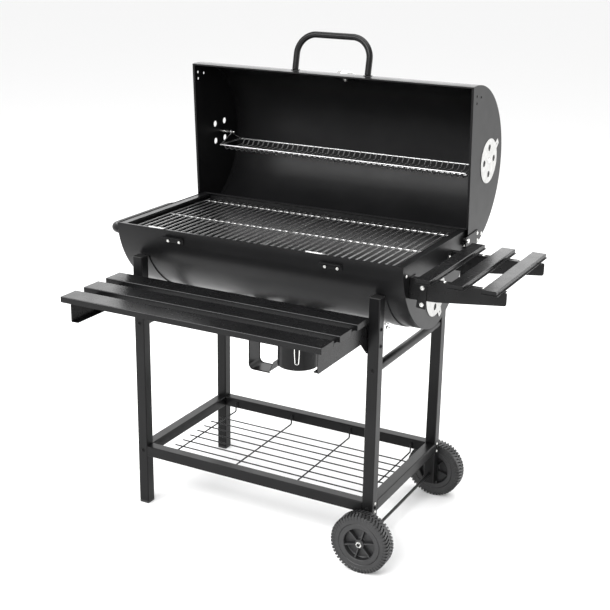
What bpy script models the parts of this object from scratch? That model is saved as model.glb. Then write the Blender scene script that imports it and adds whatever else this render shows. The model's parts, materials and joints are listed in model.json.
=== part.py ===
"""Charcoal barrel grill on a two-wheel trolley, lid open. Metres, +Z up, +X along the barrel
towards the wheels, -Y towards the cook. Everything is laid out round the middle of the bowl and
then moved as one, so that the origin ends up under the middle of the object."""

import math

import bmesh
import bpy
from mathutils import Matrix, Vector

# Driving dimensions
GAP = 0.0003  # left between pieces that touch
SHEET = 0.0012  # steel sheet of bowl, lid and brackets
BOWL_HALF_LENGTH = 0.400
BOWL_HALF_DEPTH = 0.207
BOWL_DEPTH = 0.205  # rim to lowest point
BOWL_ROUNDNESS = 1.8  # 2 is an ellipse; less flattens the flanks
RIM_Z = 0.781
END_FLANGE = 0.022

LID_RADIUS = 0.2125
LID_HALF_LENGTH = 0.4085
LID_OVERLAP = 0.015  # closed lid below the bowl's rim
LID_OPEN_ANGLE = math.radians(87)
HINGE_Y = BOWL_HALF_DEPTH - 0.030
HINGE_Z = RIM_Z - 0.024

TUBE = 0.029  # square leg and rail tube
TUBE_WALL = 0.0012
LEG_OUTER_X = 0.3495
LEG_OUTER_Y = 0.2155
LEG_TOP = 0.698
LEG_BOTTOM_WHEELED = 0.052
SHELF_RAIL_TOP = 0.171
SIDE_RAIL_Z = 0.519
SIDE_RAIL_RADIUS = 0.012
FOOT_CAP_HEIGHT = 0.006

WHEEL_RADIUS = 0.0775
WHEEL_WIDTH = 0.044
WHEEL_CENTRE_Y = 0.239
AXLE_RADIUS = 0.004
LEG_X = LEG_OUTER_X - TUBE / 2
LEG_Y = LEG_OUTER_Y - TUBE / 2

VENT_Z = 0.895  # in the closed lid
VENT_RADIUS = 0.058
VENT_HOLE_RADIUS = 0.0085
VENT_HOLE_CIRCLE = 0.035
VENT_PLATE = 0.0012
BOWL_VENT_Z = 0.664
PIN_RADIUS = 0.003

RACK_HALF_LENGTH = 0.370
RACK_HALF_DEPTH = 0.0575
RACK_DROP = 0.028  # pin to upper rails
RACK_DISH = 0.012
WIRE = 0.004

SLAT_SHEET = 0.0015
FRONT_SLAT_LEFT = -0.380
FRONT_SLAT_RIGHT = 0.329
FRONT_SLAT_WIDTH = 0.060
FRONT_SLAT_PITCH = 0.0895
FRONT_SLAT_Z = 0.656
FRONT_SLAT_LIP = 0.0145
FRONT_SHELF_EDGE = -0.469
SIDE_SLAT_START = 0.432
SIDE_SLAT_WIDTH = 0.039
SIDE_SLAT_PITCH = 0.0788
SIDE_SLAT_Z = 0.761
SIDE_SLAT_LIP = 0.012
SIDE_TABLE_FRONT = -0.213
SIDE_TABLE_REAR = 0.1535
SIDE_ARM_FRONT = -0.168
SIDE_ARM_REAR = 0.106
SIDE_ARM_END = 0.636

GRATE_Z = 0.766
GRATE_HALF_DEPTH = 0.190
BUCKET_X = 0.022
BUCKET_RADIUS = 0.056
BUCKET_BOTTOM = 0.405

STEEL_BLACK = ("black_steel", (0.020, 0.020, 0.021, 1), 0.45, 0.2)
STEEL_ZINC = ("zinc_steel", (0.62, 0.62, 0.60, 1), 0.35, 1.0)
WIRE_CHROME = ("chrome_wire", (0.72, 0.72, 0.72, 1), 0.2, 1.0)
PLASTIC_GREY = ("grey_plastic", (0.045, 0.045, 0.047, 1), 0.55, 0.0)


def clear_scene():
    for obj in list(bpy.data.objects):
        bpy.data.objects.remove(obj, do_unlink=True)


clear_scene()
grill = bpy.data.collections.new("barrel_grill")
cutters = bpy.data.collections.new("cutters")
bpy.context.scene.collection.children.link(grill)
bpy.context.scene.collection.children.link(cutters)
cutters.hide_render = True

materials = {}


def material(finish):
    name, colour, roughness, metallic = finish
    if name not in materials:
        made = bpy.data.materials.new(name)
        made.use_nodes = True
        shader = made.node_tree.nodes["Principled BSDF"]
        shader.inputs["Base Color"].default_value = colour
        shader.inputs["Roughness"].default_value = roughness
        shader.inputs["Metallic"].default_value = metallic
        materials[name] = made
    return materials[name]


def empty(name, place, parent=None):
    made = bpy.data.objects.new(name, None)
    made.empty_display_size = 0.05
    made.location = place
    made.parent = parent
    grill.objects.link(made)
    return made


root = empty("grill_origin", (0, 0, 0))
AXIS_X = Matrix(((0, 0, 1), (1, 0, 0), (0, 1, 0))).to_4x4()  # local x, y, z to world y, z, x
AXIS_Y = Matrix(((1, 0, 0), (0, 0, -1), (0, 1, 0))).to_4x4()  # local x, y, z to world x, z, -y
AXIS_Z = Matrix.Identity(4)


def add(name, data, finish, parent=None, place=(0, 0, 0), turn=AXIS_Z, into=None):
    """A new object of this data, `place` and `turn` given in the bowl's frame."""
    made = bpy.data.objects.new(name, data)
    (into or grill).objects.link(made)
    parent = parent or root
    made.parent = parent
    bpy.context.view_layer.update()
    made.matrix_world = root.matrix_world @ Matrix.Translation(place) @ turn
    if into is cutters:
        made.hide_render = True
        made.display_type = "WIRE"
    else:
        made.data.materials.append(material(finish))
    return made


def box(name, low, high, finish, parent=None, into=None):
    low, high = Vector(low), Vector(high)
    shape = bmesh.new()
    bmesh.ops.create_cube(shape, size=1.0)
    bmesh.ops.scale(shape, vec=high - low, verts=shape.verts)
    data = bpy.data.meshes.new(name)
    shape.to_mesh(data)
    shape.free()
    return add(name, data, finish, parent, (low + high) / 2, into=into)


def rod(name, radius, length, centre, turn, finish, parent=None, sides=16, into=None):
    shape = bmesh.new()
    bmesh.ops.create_cone(
        shape, cap_ends=True, segments=sides, radius1=radius, radius2=radius, depth=length
    )
    data = bpy.data.meshes.new(name)
    shape.to_mesh(data)
    shape.free()
    for face in data.polygons:
        face.use_smooth = len(face.vertices) == 4
    return add(name, data, finish, parent, centre, turn, into=into)


def as_mesh(curve_object):
    """The same piece as a mesh with its caps welded on."""
    bpy.context.view_layer.update()
    graph = bpy.context.evaluated_depsgraph_get()
    data = bpy.data.meshes.new_from_object(curve_object.evaluated_get(graph))
    shape = bmesh.new()
    shape.from_mesh(data)
    bmesh.ops.remove_doubles(shape, verts=shape.verts, dist=0.00001)
    bmesh.ops.recalc_face_normals(shape, faces=shape.faces)
    shape.to_mesh(data)
    shape.free()
    name, parent, place = curve_object.name, curve_object.parent, curve_object.matrix_world.copy()
    collection = curve_object.users_collection[0]
    hidden = curve_object.hide_render
    bpy.data.objects.remove(curve_object)
    made = bpy.data.objects.new(name, data)
    collection.objects.link(made)
    made.parent = parent
    made.matrix_world = place
    made.hide_render = hidden
    made.display_type = "WIRE" if hidden else "TEXTURED"
    return made


def circle(radius, sides=24, centre=(0, 0), start=0.0):
    return [
        (
            centre[0] + radius * math.cos(start + i * math.tau / sides),
            centre[1] + radius * math.sin(start + i * math.tau / sides),
        )
        for i in range(sides)
    ]


def plate(name, outlines, thickness, finish, parent=None, place=(0, 0, 0), turn=AXIS_Z, into=None):
    """A flat piece: the first outline is its edge, the others are holes."""
    data = bpy.data.curves.new(name, "CURVE")
    data.dimensions = "2D"
    data.fill_mode = "BOTH"
    data.extrude = thickness / 2
    for outline in outlines:
        spline = data.splines.new("POLY")
        spline.points.add(len(outline) - 1)
        for point, (x, y) in zip(spline.points, outline):
            point.co = (x, y, 0, 1)
        spline.use_cyclic_u = True
    return as_mesh(add(name, data, finish, parent, place, turn, into))


def tube(name, points, radius, finish, parent=None, detail=3, closed=False, into=None):
    data = bpy.data.curves.new(name, "CURVE")
    data.dimensions = "3D"
    data.bevel_depth = radius
    data.bevel_resolution = detail
    data.use_fill_caps = not closed
    spline = data.splines.new("POLY")
    spline.points.add(len(points) - 1)
    for point, place in zip(spline.points, points):
        point.co = (*place, 1)
    spline.use_cyclic_u = closed
    return as_mesh(add(name, data, finish, parent, into=into))


def cut(target, cutter, operation="DIFFERENCE"):
    change = target.modifiers.new(operation.lower(), "BOOLEAN")
    change.operation = operation
    change.object = cutter
    change.solver = "EXACT"


def rounded_path(corners, radius, steps=6):
    """The polyline through these corners with each inner corner turned on an arc of this radius."""
    corners = [Vector(corner) for corner in corners]
    path = [corners[0]]
    for before, corner, after in zip(corners, corners[1:], corners[2:]):
        to_before = (before - corner).normalized()
        to_after = (after - corner).normalized()
        half = to_before.angle(to_after) / 2
        reach = radius / math.tan(half)
        centre = corner + (to_before + to_after).normalized() * (radius / math.sin(half))
        start = corner + to_before * reach - centre
        end = corner + to_after * reach - centre
        for step in range(steps + 1):
            spoke = start.normalized().slerp(end.normalized(), step / steps)
            path.append(centre + spoke * radius)
    path.append(corners[-1])
    return path


def bowl_point(angle, grow=0.0):
    """(y, z) on the bowl's outer profile, `grow` outside it. Angle 0 is the rear rim, -90 the bottom."""
    power = 2 / BOWL_ROUNDNESS
    across, down = math.cos(angle), -math.sin(angle)
    y = math.copysign(abs(across) ** power, across) * (BOWL_HALF_DEPTH + grow)
    return y, RIM_Z - max(down, 0) ** power * (BOWL_DEPTH + grow)


def arc_angles(start, end, count):
    return [math.radians(start + (end - start) * i / count) for i in range(count + 1)]


def ribbon(name, profile, length, thickness, finish, parent=None, place=(0, 0, 0), turn=AXIS_X):
    """Sheet bent to a profile, its thickness to the left of the path, `length` wide across it."""
    other_face = []
    for i, (u, v) in enumerate(profile):
        before, after = profile[max(i - 1, 0)], profile[min(i + 1, len(profile) - 1)]
        along = Vector((after[0] - before[0], after[1] - before[1])).normalized()
        other_face.append((u - along.y * thickness, v + along.x * thickness))
    return plate(name, [profile + other_face[::-1]], length, finish, parent, place, turn)


def bands(centres, width, overhang):
    """(low, high, is_wire) along one side of a grid: its wires, the gaps between and the free ends."""
    found = [(centres[0] - width / 2 - overhang, centres[0] - width / 2, False)] if overhang else []
    for i, centre in enumerate(centres):
        if i:
            found.append((found[-1][1], centre - width / 2, False))
        found.append((centre - width / 2, centre + width / 2, True))
    if overhang:
        found.append((found[-1][1], found[-1][1] + overhang, False))
    return found


def wire_grid(name, xs, ys, wire, finish, parent, place, dish=0.0, overhang=(0.0, 0.0)):
    """Crossing square wires as one body: a sheet with the openings left out, then thickened."""
    shape = bmesh.new()
    for low_x, high_x, wire_x in bands(xs, wire, overhang[0]):
        for low_y, high_y, wire_y in bands(ys, wire, overhang[1]):
            if wire_x or wire_y:
                corners = ((low_x, low_y), (high_x, low_y), (high_x, high_y), (low_x, high_y))
                shape.faces.new([shape.verts.new((x, y, 0)) for x, y in corners])
    bmesh.ops.remove_doubles(shape, verts=shape.verts, dist=0.00001)
    for vert in shape.verts:
        if ys[0] + wire < vert.co.y < ys[-1] - wire:
            vert.co.z -= dish
    data = bpy.data.meshes.new(name)
    shape.to_mesh(data)
    shape.free()
    made = add(name, data, finish, parent, place)
    solid = made.modifiers.new("wire", "SOLIDIFY")
    solid.thickness = wire
    solid.offset = 0.0
    return made


def spread(low, high, count):
    return [low + (high - low) * i / (count - 1) for i in range(count)]


# ---------------------------------------------------------------- trolley


def square_tube(name, start, length, axis, finish=STEEL_BLACK):
    """Open-ended square tube from `start`, the middle of its low end, along an axis."""
    half, inner = TUBE / 2, TUBE / 2 - TUBE_WALL
    outer = [(-half, -half), (half, -half), (half, half), (-half, half)]
    hollow = [(-inner, -inner), (inner, -inner), (inner, inner), (-inner, inner)]
    turn = {"X": AXIS_X, "Y": AXIS_Y, "Z": AXIS_Z}[axis]
    along = Vector({"X": (1, 0, 0), "Y": (0, 1, 0), "Z": (0, 0, 1)}[axis])
    middle = Vector(start) + along * length / 2
    return plate(name, [outer, hollow], length, finish, place=middle, turn=turn)


def make_legs():
    axle_hole = rod(
        "axle_hole_cutter",
        AXLE_RADIUS + 0.0002,
        0.6,
        (LEG_X, 0, WHEEL_RADIUS),
        AXIS_Y,
        None,
        into=cutters,
    )
    for side, x in (("left", -LEG_X), ("right", LEG_X)):
        for end, y in (("front", -LEG_Y), ("rear", LEG_Y)):
            bottom = FOOT_CAP_HEIGHT + GAP if side == "left" else LEG_BOTTOM_WHEELED
            leg = square_tube(f"leg_{end}_{side}", (x, y, bottom), LEG_TOP - bottom, "Z")
            if side == "right":
                cut(leg, axle_hole)
            else:
                make_foot_cap(f"foot_cap_{end}", x, y)


def make_foot_cap(name, x, y):
    half = TUBE / 2
    box(name, (x - half, y - half, 0), (x + half, y + half, FOOT_CAP_HEIGHT), PLASTIC_GREY)


def make_frame_rails():
    rail_z = SHELF_RAIL_TOP - TUBE / 2
    span_x = 2 * (LEG_X - TUBE / 2 - GAP)
    span_y = 2 * (LEG_Y - TUBE / 2 - GAP)
    for end, y in (("front", -LEG_Y), ("rear", LEG_Y)):
        square_tube(f"shelf_rail_{end}", (-span_x / 2, y, rail_z), span_x, "X")
    for side, x in (("left", -LEG_X), ("right", LEG_X)):
        square_tube(f"shelf_rail_{side}", (x, -span_y / 2, rail_z), span_y, "Y")
        rod(f"side_rail_{side}", SIDE_RAIL_RADIUS, span_y, (x, 0, SIDE_RAIL_Z), AXIS_Y, STEEL_BLACK)


def make_wire_shelf():
    level = SHELF_RAIL_TOP - 0.034
    rail_face = LEG_Y - TUBE / 2 - GAP
    cross = spread(-0.2805, 0.2805, 4)
    shelf = wire_grid(
        "wire_shelf",
        cross,
        spread(-0.110, 0.110, 7),
        WIRE,
        STEEL_BLACK,
        None,
        (0, 0, level),
        overhang=(0.018, 0.026),
    )
    hook_rise = 0.023
    for x in cross:
        for sign in (-1, 1):
            path = rounded_path(
                [
                    (x, sign * 0.134, level),
                    (x, sign * (rail_face - 0.006), level),
                    (x, sign * (rail_face - 0.006), level + hook_rise),
                    (x, sign * rail_face, level + hook_rise),
                ],
                0.003,
                2,
            )
            name = f"hook_cutter_{x:.2f}_{sign}"
            hook = tube(name, path, WIRE / 2, STEEL_BLACK, detail=1, into=cutters)
            cut(shelf, hook, "UNION")


def make_cradles():
    start, end = 206.6, 333.4
    sheet = 0.002
    for side, x in (("left", -LEG_X), ("right", LEG_X)):
        profile = [bowl_point(angle - math.tau, 0.0005 + sheet) for angle in arc_angles(start, end, 28)]
        ribbon(f"cradle_{side}", profile, TUBE, sheet, STEEL_BLACK, place=(x, 0, 0))


def make_axle_and_wheels():
    nut_reach = WHEEL_CENTRE_Y + WHEEL_WIDTH / 2
    rod("axle", AXLE_RADIUS, 2 * nut_reach + 0.004, (LEG_X, 0, WHEEL_RADIUS), AXIS_Y, STEEL_BLACK)
    for end, sign in (("front", -1), ("rear", 1)):
        spin = empty(f"wheel_{end}_axis", (LEG_X, sign * WHEEL_CENTRE_Y, WHEEL_RADIUS), root)
        make_wheel(f"wheel_{end}", spin, sign)
        make_axle_nut(f"axle_nut_{end}", sign * (nut_reach - 0.0018))


def make_wheel(name, spin, sign):
    """Moulded wheel turned from one profile, dished on its outer side round the hub boss."""
    half = WHEEL_WIDTH / 2
    bore, boss, dish, rim = AXLE_RADIUS + 0.0003, 0.014, 0.040, 0.056
    profile = [
        (boss, half - 0.010),
        (boss + 0.002, 0.002),
        (dish, 0.002),
        (dish + 0.003, half - 0.004),
        (rim, half - 0.002),
        (WHEEL_RADIUS - 0.005, half - 0.004),
        (WHEEL_RADIUS, half - 0.011),
        (WHEEL_RADIUS, -half + 0.011),
        (WHEEL_RADIUS - 0.005, -half + 0.004),
        (rim, -half + 0.002),
        (dish + 0.003, -half + 0.004),
        (dish, -0.003),
        (boss + 0.002, -0.003),
        (boss, -half + 0.001),
        (bore, -half + 0.001),
        (bore, half - 0.010),
    ]
    shape = bmesh.new()
    points = [shape.verts.new((radius, 0, height)) for radius, height in profile]
    for first, second in zip(points, points[1:] + points[:1]):
        shape.edges.new((first, second))
    data = bpy.data.meshes.new(name)
    shape.to_mesh(data)
    shape.free()
    facing = Matrix.Rotation(math.radians(90 if sign < 0 else -90), 4, "X")
    wheel = add(name, data, PLASTIC_GREY, spin, spin.location, facing)
    turned = wheel.modifiers.new("turned", "SCREW")
    turned.steps = 32
    turned.render_steps = 32
    turned.use_merge_vertices = True
    turned.merge_threshold = 0.0001


def make_axle_nut(name, y):
    sign = math.copysign(1, y)
    bore = circle(AXLE_RADIUS + GAP, 12)
    place = (LEG_X, y - sign * 0.0021, WHEEL_RADIUS)
    plate(name, [circle(0.008, 6), bore], 0.005, STEEL_ZINC, place=place, turn=AXIS_Y)


# ---------------------------------------------------------------- shelves


def channel(width, lip):
    """Outline of a folded slat, open downwards, its top face at 0."""
    half, wall = width / 2, SLAT_SHEET
    return [
        (-half, -lip),
        (-half + wall, -lip),
        (-half + wall, -wall),
        (half - wall, -wall),
        (half - wall, -lip),
        (half, -lip),
        (half, 0),
        (-half, 0),
    ]


def make_front_shelf():
    centre_x = (FRONT_SLAT_LEFT + FRONT_SLAT_RIGHT) / 2
    length = FRONT_SLAT_RIGHT - FRONT_SLAT_LEFT
    outline = channel(FRONT_SLAT_WIDTH, FRONT_SLAT_LIP)
    for i in range(3):
        y = FRONT_SHELF_EDGE + FRONT_SLAT_WIDTH / 2 + i * FRONT_SLAT_PITCH
        plate(
            f"front_shelf_slat_{i + 1}",
            [outline],
            length,
            STEEL_BLACK,
            place=(centre_x, y, FRONT_SLAT_Z),
            turn=AXIS_X,
        )
    top = FRONT_SLAT_Z - FRONT_SLAT_LIP - GAP
    leg_front = -LEG_OUTER_Y
    outline = [
        (FRONT_SHELF_EDGE + 0.002, top - 0.048),
        (leg_front - 0.034, top - 0.048),
        (leg_front, top - 0.081),
        (leg_front + TUBE, top - 0.081),
        (leg_front + TUBE, top),
        (FRONT_SHELF_EDGE + 0.002, top),
    ]
    for side, leg_face in (("left", -LEG_OUTER_X), ("right", LEG_OUTER_X - TUBE)):
        x = leg_face - GAP - 0.001
        bracket = plate(
            f"front_shelf_bracket_{side}", [outline], 0.002, STEEL_BLACK, place=(x, 0, 0), turn=AXIS_X
        )
        inward = 1 if side == "left" else -1
        low_x, high_x = sorted((x - inward * 0.001, x + inward * 0.014))
        lip = box(
            f"bracket_lip_cutter_{side}",
            (low_x, FRONT_SHELF_EDGE + 0.002, top - 0.048),
            (high_x, leg_front - 0.036, top - 0.046),
            None,
            into=cutters,
        )
        cut(bracket, lip, "UNION")


def make_side_table():
    length = SIDE_TABLE_REAR - SIDE_TABLE_FRONT
    outline = channel(SIDE_SLAT_WIDTH, SIDE_SLAT_LIP)
    for i in range(3):
        x = SIDE_SLAT_START + SIDE_SLAT_WIDTH / 2 + i * SIDE_SLAT_PITCH
        y = (SIDE_TABLE_FRONT + SIDE_TABLE_REAR) / 2
        place = (x, y, SIDE_SLAT_Z)
        plate(f"side_table_slat_{i + 1}", [outline], length, STEEL_BLACK, place=place, turn=AXIS_Y)
    top = SIDE_SLAT_Z - SIDE_SLAT_LIP - GAP
    inner = BOWL_HALF_LENGTH + GAP
    ends = (("front", SIDE_ARM_FRONT, 0.040), ("rear", SIDE_ARM_REAR, -0.040))
    for end, y, foot in ends:
        make_table_bracket(f"side_table_bracket_{end}", inner, y, foot, top)


def make_table_bracket(name, inner, y, foot, top):
    """Upright arm with a bent foot that is bolted to the end of the bowl."""
    web = [
        (inner, top - 0.052),
        (inner + 0.067, top - 0.050),
        (SIDE_ARM_END - 0.008, top - 0.030),
        (SIDE_ARM_END, top - 0.022),
        (SIDE_ARM_END, top),
        (inner, top),
    ]
    arm = plate(name, [web], 0.002, STEEL_BLACK, place=(0, y, 0), turn=AXIS_Y)
    low, high = sorted((y, y + foot))
    foot_box = box(
        name + "_foot", (inner, low, top - 0.052), (inner + 0.002, high, top - 0.001), None, into=cutters
    )
    cut(arm, foot_box, "UNION")


# ---------------------------------------------------------------- bowl


def bowl_outline(shrink):
    return [bowl_point(angle - math.tau, -shrink) for angle in arc_angles(180, 360, 40)]


def make_bowl():
    shell = ribbon(
        "bowl_shell", bowl_outline(0), 2 * (BOWL_HALF_LENGTH - SHEET - GAP), SHEET, STEEL_BLACK
    )
    bottom = (BUCKET_X, 0, RIM_Z - BOWL_DEPTH)
    radius = BUCKET_RADIUS - 0.012
    ash_hole = rod("ash_hole_cutter", radius, 0.2, bottom, AXIS_Z, None, into=cutters)
    cut(shell, ash_hole)
    for side, sign in (("left", -1), ("right", 1)):
        make_bowl_end(side, sign)


def make_bowl_end(side, sign):
    outline = [(y, z) for y, z in bowl_outline(0)]
    holes = []
    if side == "right":
        holes = [
            circle(VENT_HOLE_RADIUS, 12, (y, BOWL_VENT_Z + z))
            for y, z in circle(VENT_HOLE_CIRCLE, 4, start=math.radians(45))
        ]
        holes.append(circle(PIN_RADIUS + GAP, 12, (0, BOWL_VENT_Z)))
    holes.append(circle(PIN_RADIUS + GAP, 12, (HINGE_Y, HINGE_Z)))
    x = sign * (BOWL_HALF_LENGTH - SHEET / 2)
    end = plate(f"bowl_end_{side}", [outline, *holes], SHEET, STEEL_BLACK, place=(x, 0, 0), turn=AXIS_X)
    inner_x = sign * (BOWL_HALF_LENGTH - END_FLANGE)
    edge_x = sign * (BOWL_HALF_LENGTH - SHEET / 2)
    reach = BOWL_HALF_DEPTH - 2 * SHEET - 0.002
    flange = box(
        f"bowl_end_{side}_flange",
        (min(inner_x, edge_x), -reach, RIM_Z - SHEET - 0.0008),
        (max(inner_x, edge_x), reach, RIM_Z - 0.0008),
        None,
        into=cutters,
    )
    cut(end, flange, "UNION")


def make_lid_rests():
    for side, x in (("left", -0.2265), ("right", 0.217)):
        y = -BOWL_HALF_DEPTH - GAP
        clip_low = RIM_Z - LID_OVERLAP - 0.004 - 0.012
        outline = [
            (y - 0.002, clip_low),
            (y, clip_low),
            (y, clip_low + 0.014),
            (y - 0.013, clip_low + 0.014),
            (y - 0.013, clip_low + 0.012),
            (y - 0.002, clip_low + 0.012),
        ]
        plate(f"lid_rest_{side}", [outline], 0.056, STEEL_BLACK, place=(x, 0, 0), turn=AXIS_X)


def make_carry_handle():
    """Bent tube on the bowl's left end."""
    wall = -BOWL_HALF_LENGTH - GAP
    reach, z, half = 0.0645, RIM_Z - 0.036, 0.148
    corners = [(wall, -half, z), (wall - reach, -half, z), (wall - reach, half, z), (wall, half, z)]
    path = rounded_path(corners, 0.036)
    tube("carry_handle", path, 0.0125, STEEL_BLACK)


def make_charcoal_grate():
    level = RIM_Z - 0.125
    half_y = 0.144
    wire_grid(
        "charcoal_grate",
        spread(-0.370, 0.370, 19),
        spread(-half_y, half_y, 3),
        0.006,
        STEEL_ZINC,
        None,
        (0, 0, level),
    )


def make_cooking_grates():
    """Two loose wire grates, each with a loop that hooks over the front rim."""
    half = BOWL_HALF_LENGTH - END_FLANGE - 0.004
    edge = WIRE / 2
    for side, low, high, loop_low in (("left", -half, -0.003, -0.303), ("right", 0.003, half, 0.147)):
        grate = wire_grid(
            f"cooking_grate_{side}",
            spread(low + edge, high - edge, 21),
            [-GRATE_HALF_DEPTH + 0.012, 0, GRATE_HALF_DEPTH - 0.012],
            WIRE,
            WIRE_CHROME,
            None,
            (0, 0, GRATE_Z),
            overhang=(0, 0.010),
        )
        top, rim_y = RIM_Z + 0.0005 + edge, -BOWL_HALF_DEPTH - 0.0008
        path = []
        for x in (loop_low, loop_low + 0.046):
            leg = [(x, -GRATE_HALF_DEPTH + 0.012, GRATE_Z), (x, rim_y + 0.012, top), (x, rim_y, top)]
            path += leg if x == loop_low else leg[::-1]
        loop = tube(f"grate_loop_{side}", path, edge, WIRE_CHROME, detail=1, into=cutters)
        cut(grate, loop, "UNION")


def make_ash_bucket():
    hang = empty("ash_bucket_axis", (BUCKET_X, 0, BUCKET_BOTTOM), root)
    top = RIM_Z - BOWL_DEPTH - 0.014
    shape = bmesh.new()
    profile = [(BUCKET_RADIUS, top), (BUCKET_RADIUS - 0.002, BUCKET_BOTTOM), (0, BUCKET_BOTTOM)]
    points = [shape.verts.new((radius, 0, height - BUCKET_BOTTOM)) for radius, height in profile]
    for first, second in zip(points, points[1:]):
        shape.edges.new((first, second))
    data = bpy.data.meshes.new("ash_bucket")
    shape.to_mesh(data)
    shape.free()
    bucket = add("ash_bucket", data, STEEL_BLACK, hang, hang.location)
    turned = bucket.modifiers.new("turned", "SCREW")
    turned.steps = 32
    turned.render_steps = 32
    turned.use_merge_vertices = True
    turned.merge_threshold = 0.0001
    wall = bucket.modifiers.new("wall", "SOLIDIFY")
    wall.thickness = SHEET
    wall.offset = -1.0
    make_bucket_handle(hang, top)
    make_ash_collar(top)
    make_bucket_clips()


def make_bucket_handle(hang, top):
    """Wide bent strap on the bucket's left side, from under its rim round to its foot."""
    near = BUCKET_X - BUCKET_RADIUS - 0.0015
    low, high, far = BUCKET_BOTTOM - 0.031, top - 0.012, near - 0.078
    corners = [(near, high), (far, high), (far, low), (near - 0.012, low), (near, low + 0.036)]
    path = rounded_path(corners, 0.010, 4)
    profile = [(point[0], point[1]) for point in path]
    ribbon("ash_bucket_handle", profile, 0.060, 0.002, STEEL_BLACK, hang, turn=AXIS_Y)


def make_ash_collar(bucket_top):
    """Short round throat under the hole in the bowl, shaped to the bowl's curve at its top."""
    low, high = bucket_top + GAP, RIM_Z - BOWL_DEPTH + 0.020
    rings = [circle(BUCKET_RADIUS + 0.003, 32), circle(BUCKET_RADIUS - 0.006, 32)]
    collar = plate("ash_collar", rings, high - low, STEEL_BLACK, place=(BUCKET_X, 0, (high + low) / 2))
    solid_bowl = [bowl_point(angle - math.tau, 0.0006) for angle in arc_angles(180, 360, 40)]
    place = (BUCKET_X, 0, 0)
    cutter = plate("bowl_cutter", [solid_bowl], 0.4, None, place=place, turn=AXIS_X, into=cutters)
    cut(collar, cutter)


def make_bucket_clips():
    """Wire clips on the throat that swing out from the bucket to let it drop."""
    level, foot = RIM_Z - BOWL_DEPTH - 0.008, BUCKET_BOTTOM + 0.022
    low, high = BUCKET_X + 0.020, BUCKET_X + 0.034
    for side, sign in (("front", -1), ("rear", 1)):
        y = sign * (BUCKET_RADIUS + 0.0022)
        axis = empty(f"bucket_clip_{side}_axis", ((low + high) / 2, y, level), root)
        corners = [(low, y, level), (low, y, foot), (high, y, foot), (high, y, level)]
        path = rounded_path(corners, 0.0065, 4)
        tube(f"bucket_clip_{side}", path, 0.0014, STEEL_ZINC, axis, detail=1)


def make_bowl_vent():
    axis = empty("bowl_vent_axis", (BOWL_HALF_LENGTH, 0, BOWL_VENT_Z), root)
    place = (BOWL_HALF_LENGTH + GAP + VENT_PLATE / 2, 0, BOWL_VENT_Z)
    outlines = vent_outline(tab_angle=-60, holes_at=0)
    plate("bowl_vent", outlines, VENT_PLATE, STEEL_ZINC, axis, place, AXIS_X)


def vent_outline(tab_angle, holes_at):
    """Round damper with a thumb tab, four air holes and a hole for its pin."""
    tab = math.radians(tab_angle)
    half_tab, reach, steps = math.radians(10), VENT_RADIUS + 0.019, 30
    edge = [
        (VENT_RADIUS * math.cos(a), VENT_RADIUS * math.sin(a))
        for a in (tab + half_tab + (math.tau - 2 * half_tab) * i / steps for i in range(steps + 1))
    ]
    for a in (tab - half_tab * 0.8, tab + half_tab * 0.8):
        edge.append((reach * math.cos(a), reach * math.sin(a)))
    holes = [
        circle(VENT_HOLE_RADIUS, 12, centre)
        for centre in circle(VENT_HOLE_CIRCLE, 4, start=math.radians(holes_at))
    ]
    return [edge, *holes, circle(PIN_RADIUS + GAP, 12)]


# ---------------------------------------------------------------- lid


def opened(y, z):
    """Where a point of the closed lid lies when the lid stands open."""
    dy, dz = y - HINGE_Y, z - HINGE_Z
    cos, sin = math.cos(LID_OPEN_ANGLE), math.sin(LID_OPEN_ANGLE)
    return HINGE_Y + dy * cos + dz * sin, HINGE_Z - dy * sin + dz * cos


def opened_matrix():
    """The same turn as a matrix, for a piece that is laid out on the closed lid."""
    turn = Matrix.Rotation(-LID_OPEN_ANGLE, 4, "X")
    pivot = Vector((0, HINGE_Y, HINGE_Z))
    return Matrix.Translation(pivot) @ turn @ Matrix.Translation(-pivot)


def open_up(obj):
    obj.matrix_world = opened_matrix() @ obj.matrix_world
    return obj


def lid_outline(start, end, radius=LID_RADIUS, count=40):
    return [
        (radius * math.cos(angle), RIM_Z + radius * math.sin(angle))
        for angle in arc_angles(start, end, count)
    ]


def make_lid():
    hinge = empty("lid_hinge_axis", (0, HINGE_Y, HINGE_Z), root)
    drop = math.degrees(math.asin(LID_OVERLAP / LID_RADIUS))
    rear = 0.6
    profile = lid_outline(rear, 180 + drop)
    length = 2 * (LID_HALF_LENGTH - SHEET - GAP)
    open_up(ribbon("lid_shell", profile, length, SHEET, STEEL_BLACK, hinge))
    for side, sign in (("left", -1), ("right", 1)):
        make_lid_end(side, sign, hinge, drop)
        make_hinge(side, sign, hinge)
        make_lid_vent(side, sign, hinge)
    make_lid_handle(hinge)
    make_thermometer(hinge)
    make_warming_rack(hinge)


def make_lid_end(side, sign, hinge, drop):
    outline = lid_outline(-drop, 180 + drop, count=44)
    holes = [
        circle(VENT_HOLE_RADIUS, 12, (y, VENT_Z + z))
        for y, z in circle(VENT_HOLE_CIRCLE, 4, start=math.radians(45))
    ]
    holes.append(circle(PIN_RADIUS + GAP, 12, (0, VENT_Z)))
    x = sign * (LID_HALF_LENGTH - SHEET / 2)
    open_up(plate(f"lid_end_{side}", [outline, *holes], SHEET, STEEL_BLACK, hinge, (x, 0, 0), AXIS_X))


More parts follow.
